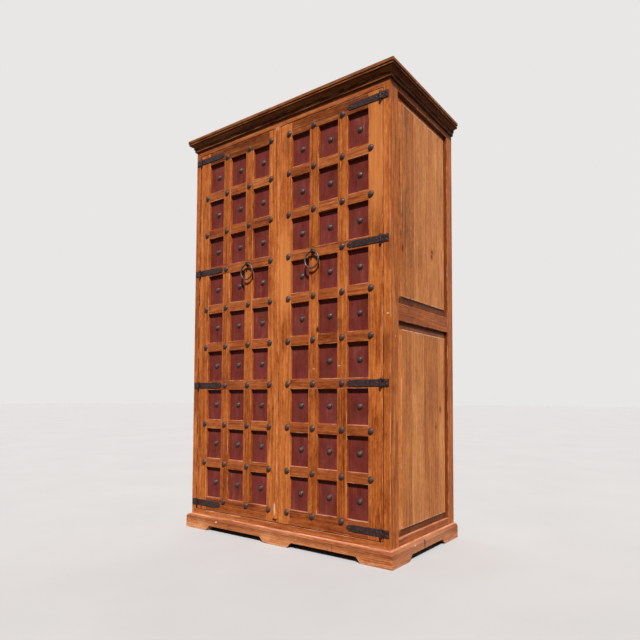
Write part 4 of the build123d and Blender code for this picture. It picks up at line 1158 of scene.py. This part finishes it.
def straps(side, sign, seed):
    """Long hammered straps with spear-shaped heads, and the knuckle that each ends in."""
    piece = Piece(f"{side}_strap_hinges_plates", random.Random(seed))
    pin_x = POST_INNER - PIN_INSET
    for bar in range(0, ROWS + 1, ROWS_PER_SECTION):
        level = bar_level(bar)
        offset = Vector((piece.rng.uniform(-9, 9), piece.rng.uniform(-9, 9), 0))
        stations = strap_stations(piece.rng)
        points, edge = [], []
        for reach, half in stations:
            x = sign * (POST_INNER - reach)
            under = FRONT + STRAP_SUNK
            points.append((x, under, level - half))
            edge.append(1.0)
            for row in STRAP_ROWS:
                rim = 0.55 if abs(row) == 1.0 else 0.93
                lump = 0.5 + 0.5 * noise.noise(Vector((reach * 120, row * half * 120, 0)) + offset)
                points.append((x, FRONT - STRAP_THICKNESS * rim * (1 - 0.14 * lump), level + row * half))
                edge.append(0.6 if abs(row) >= 0.94 else 0.0)
            points.append((x, under, level + half))
            edge.append(1.0)
        faces = rings_joined(len(stations), len(STRAP_ROWS) + 2)
        piece.add(points, faces, piece.rng.random(), edge)
        low_x, high_x = span(sign, POST_INNER - STRAP_OUTLINE[0][0] * MM, pin_x + 3 * MM)
        bottom, top = level - KNUCKLE_HALF, level + KNUCKLE_HALF
        neck_low, neck_high = (low_x, FRONT - STRAP_THICKNESS, bottom), (high_x, FRONT, top)
        board(piece, neck_low, neck_high, 0, 1, radius=0.5 * MM)
        barrel(piece, Vector((sign * pin_x, FRONT - PIN_STANDOFF, bottom)), top - bottom)
    piece.build(f"{side}_door", IRON, "iron", f"{side}_strap_hinges")


def strap_stations(rng):
    """The strap's outline, divided finely and a little uneven, as (reach, half height)."""
    outline = [(reach * MM, half * MM) for reach, half in STRAP_OUTLINE]
    stations = []
    for (start, half), (end, next_half) in zip(outline, outline[1:]):
        count = max(1, round((end - start) / (7 * MM)))
        for k in range(count):
            share = k / count
            stations.append((start + (end - start) * share, half + (next_half - half) * share))
    stations.append(outline[-1])
    return [(reach, max(0.4 * MM, half - rng.uniform(0, 0.5) * MM)) for reach, half in stations]


def barrel(piece, foot, height):
    """A knuckle of a hinge, with softened ends and a bore for the pin."""
    end_radius = KNUCKLE_RADIUS - 1.2 * MM
    outside = [(KNUCKLE_RADIUS, level) for level in (0.9 * MM, height / 2, height - 0.9 * MM)]
    bore = [(KNUCKLE_BORE, height), (KNUCKLE_BORE, 0.0)]
    profile = [(end_radius, 0.0), *outside, (end_radius, height), *bore]
    lathe(piece, profile, Matrix.Identity(3), foot, 0.02, bored=True)


def ring_pull(side, sign, seed):
    """A hammered ring, a little thicker in some places than in others."""
    piece = Piece(f"{side}_ring_forged", random.Random(seed))
    offset = Vector((piece.rng.uniform(-9, 9), 0, 0))
    level = bar_level(ROWS_PER_SECTION) - RING_RADIUS
    centre = Vector((sign * muntin_centre(1), FRONT - EYE_STANDOFF, level))
    points = []
    turns, sections = 64, 14
    for i in range(turns):
        angle = math.tau * i / turns
        outward = Vector((math.sin(angle), 0, math.cos(angle)))
        for j in range(sections):
            around = math.tau * j / sections
            spot = Vector((math.sin(angle) * 2.4, math.cos(angle) * 2.4, j * 0.4)) + offset
            thickness = RING_BAR_RADIUS * (1 - 0.14 * (0.5 + 0.5 * noise.noise(spot)))
            reach = outward * (RING_RADIUS + thickness * math.cos(around))
            points.append(centre + reach + Vector((0, thickness * math.sin(around), 0)))
    piece.add(points, rings_joined(turns, sections, True), piece.rng.random(), [0.0] * len(points))
    piece.build(f"{side}_ring", RING_IRON, "iron", f"{side}_ring")


# ---- Floor, light and camera
def stage():
    """The floor, which is no part of the cabinet."""
    mesh = bpy.data.meshes.new("floor")
    corners = [(x * FLOOR_REACH, y * FLOOR_REACH, 0) for x, y in ((-1, -1), (1, -1), (1, 1), (-1, 1))]
    mesh.from_pydata(corners, [], [(0, 1, 2, 3)])
    mesh.materials.append(plain_floor())
    floor = put("floor", mesh)


def light():
    """The sun, and a sky that is only seen as a plain background."""
    lamp = bpy.data.lights.new("key", "SUN")
    lamp.energy = KEY_STRENGTH
    lamp.angle = math.radians(KEY_ANGLE)
    lamp.color = KEY_COLOUR
    put("key", lamp).rotation_euler = KEY_DIRECTION.to_track_quat("Z", "Y").to_euler()
    world = bpy.data.worlds.new("studio")
    bpy.context.scene.world = world
    nodes = Nodes(world)
    nodes.tree.nodes.clear()
    shown = nodes.add("Background", {"Color": colour(*BACKGROUND)}).outputs[0]
    toward = nodes.vector("DOT_PRODUCT", nodes.coordinates("Generated"), BACK_SCREEN, output="Value")
    strength = nodes.between(toward, *BACK_SCREEN_EDGE, FRONT_FILL, BACK_FILL)
    fill = nodes.add("Background", {"Color": colour(*FILL_COLOUR), "Strength": strength}).outputs[0]
    choice = nodes.add("MixShader", {0: nodes.seen(), 1: fill, 2: shown}).outputs[0]
    nodes.add("OutputWorld", {"Surface": choice})


def camera():
    """The camera, at the place and with the picture of the photograph."""
    lens = bpy.data.cameras.new("camera")
    lens.sensor_fit = "HORIZONTAL"
    lens.sensor_width = SENSOR_WIDTH
    lens.lens = FOCAL_PIXELS * SENSOR_WIDTH / PICTURE_SIDE
    lens.shift_x = (PICTURE_SIDE / 2 - CENTRE_PIXELS[0]) / PICTURE_SIDE
    lens.shift_y = (CENTRE_PIXELS[1] - PICTURE_SIDE / 2) / PICTURE_SIDE
    lens.clip_end = 200.0
    forward = CAMERA_FORWARD.normalized()
    right = (CAMERA_RIGHT - forward * CAMERA_RIGHT.dot(forward)).normalized()
    turn = Matrix((right, right.cross(forward), -forward)).transposed().to_4x4()
    viewer = put("camera", lens)
    viewer.matrix_world = Matrix.Translation(CAMERA_PLACE) @ turn
    bpy.context.scene.camera = viewer


camera()
light()
stage()
side_frames()
face_rails()
cornice()
top_board()
plinth()
for number, (side, sign) in enumerate(SIDES):
    door_frame(side, sign, 200 + number)
    door_panels(side, sign, 210 + number)
    lattice_studs(side, sign, 220 + number)
    panel_studs(side, sign, 240 + number)
    straps(side, sign, 250 + number)
    ring_pull(side, sign, 260 + number)
astragal()
kept_shapes()

bpy.context.scene.view_settings.view_transform = "Standard"
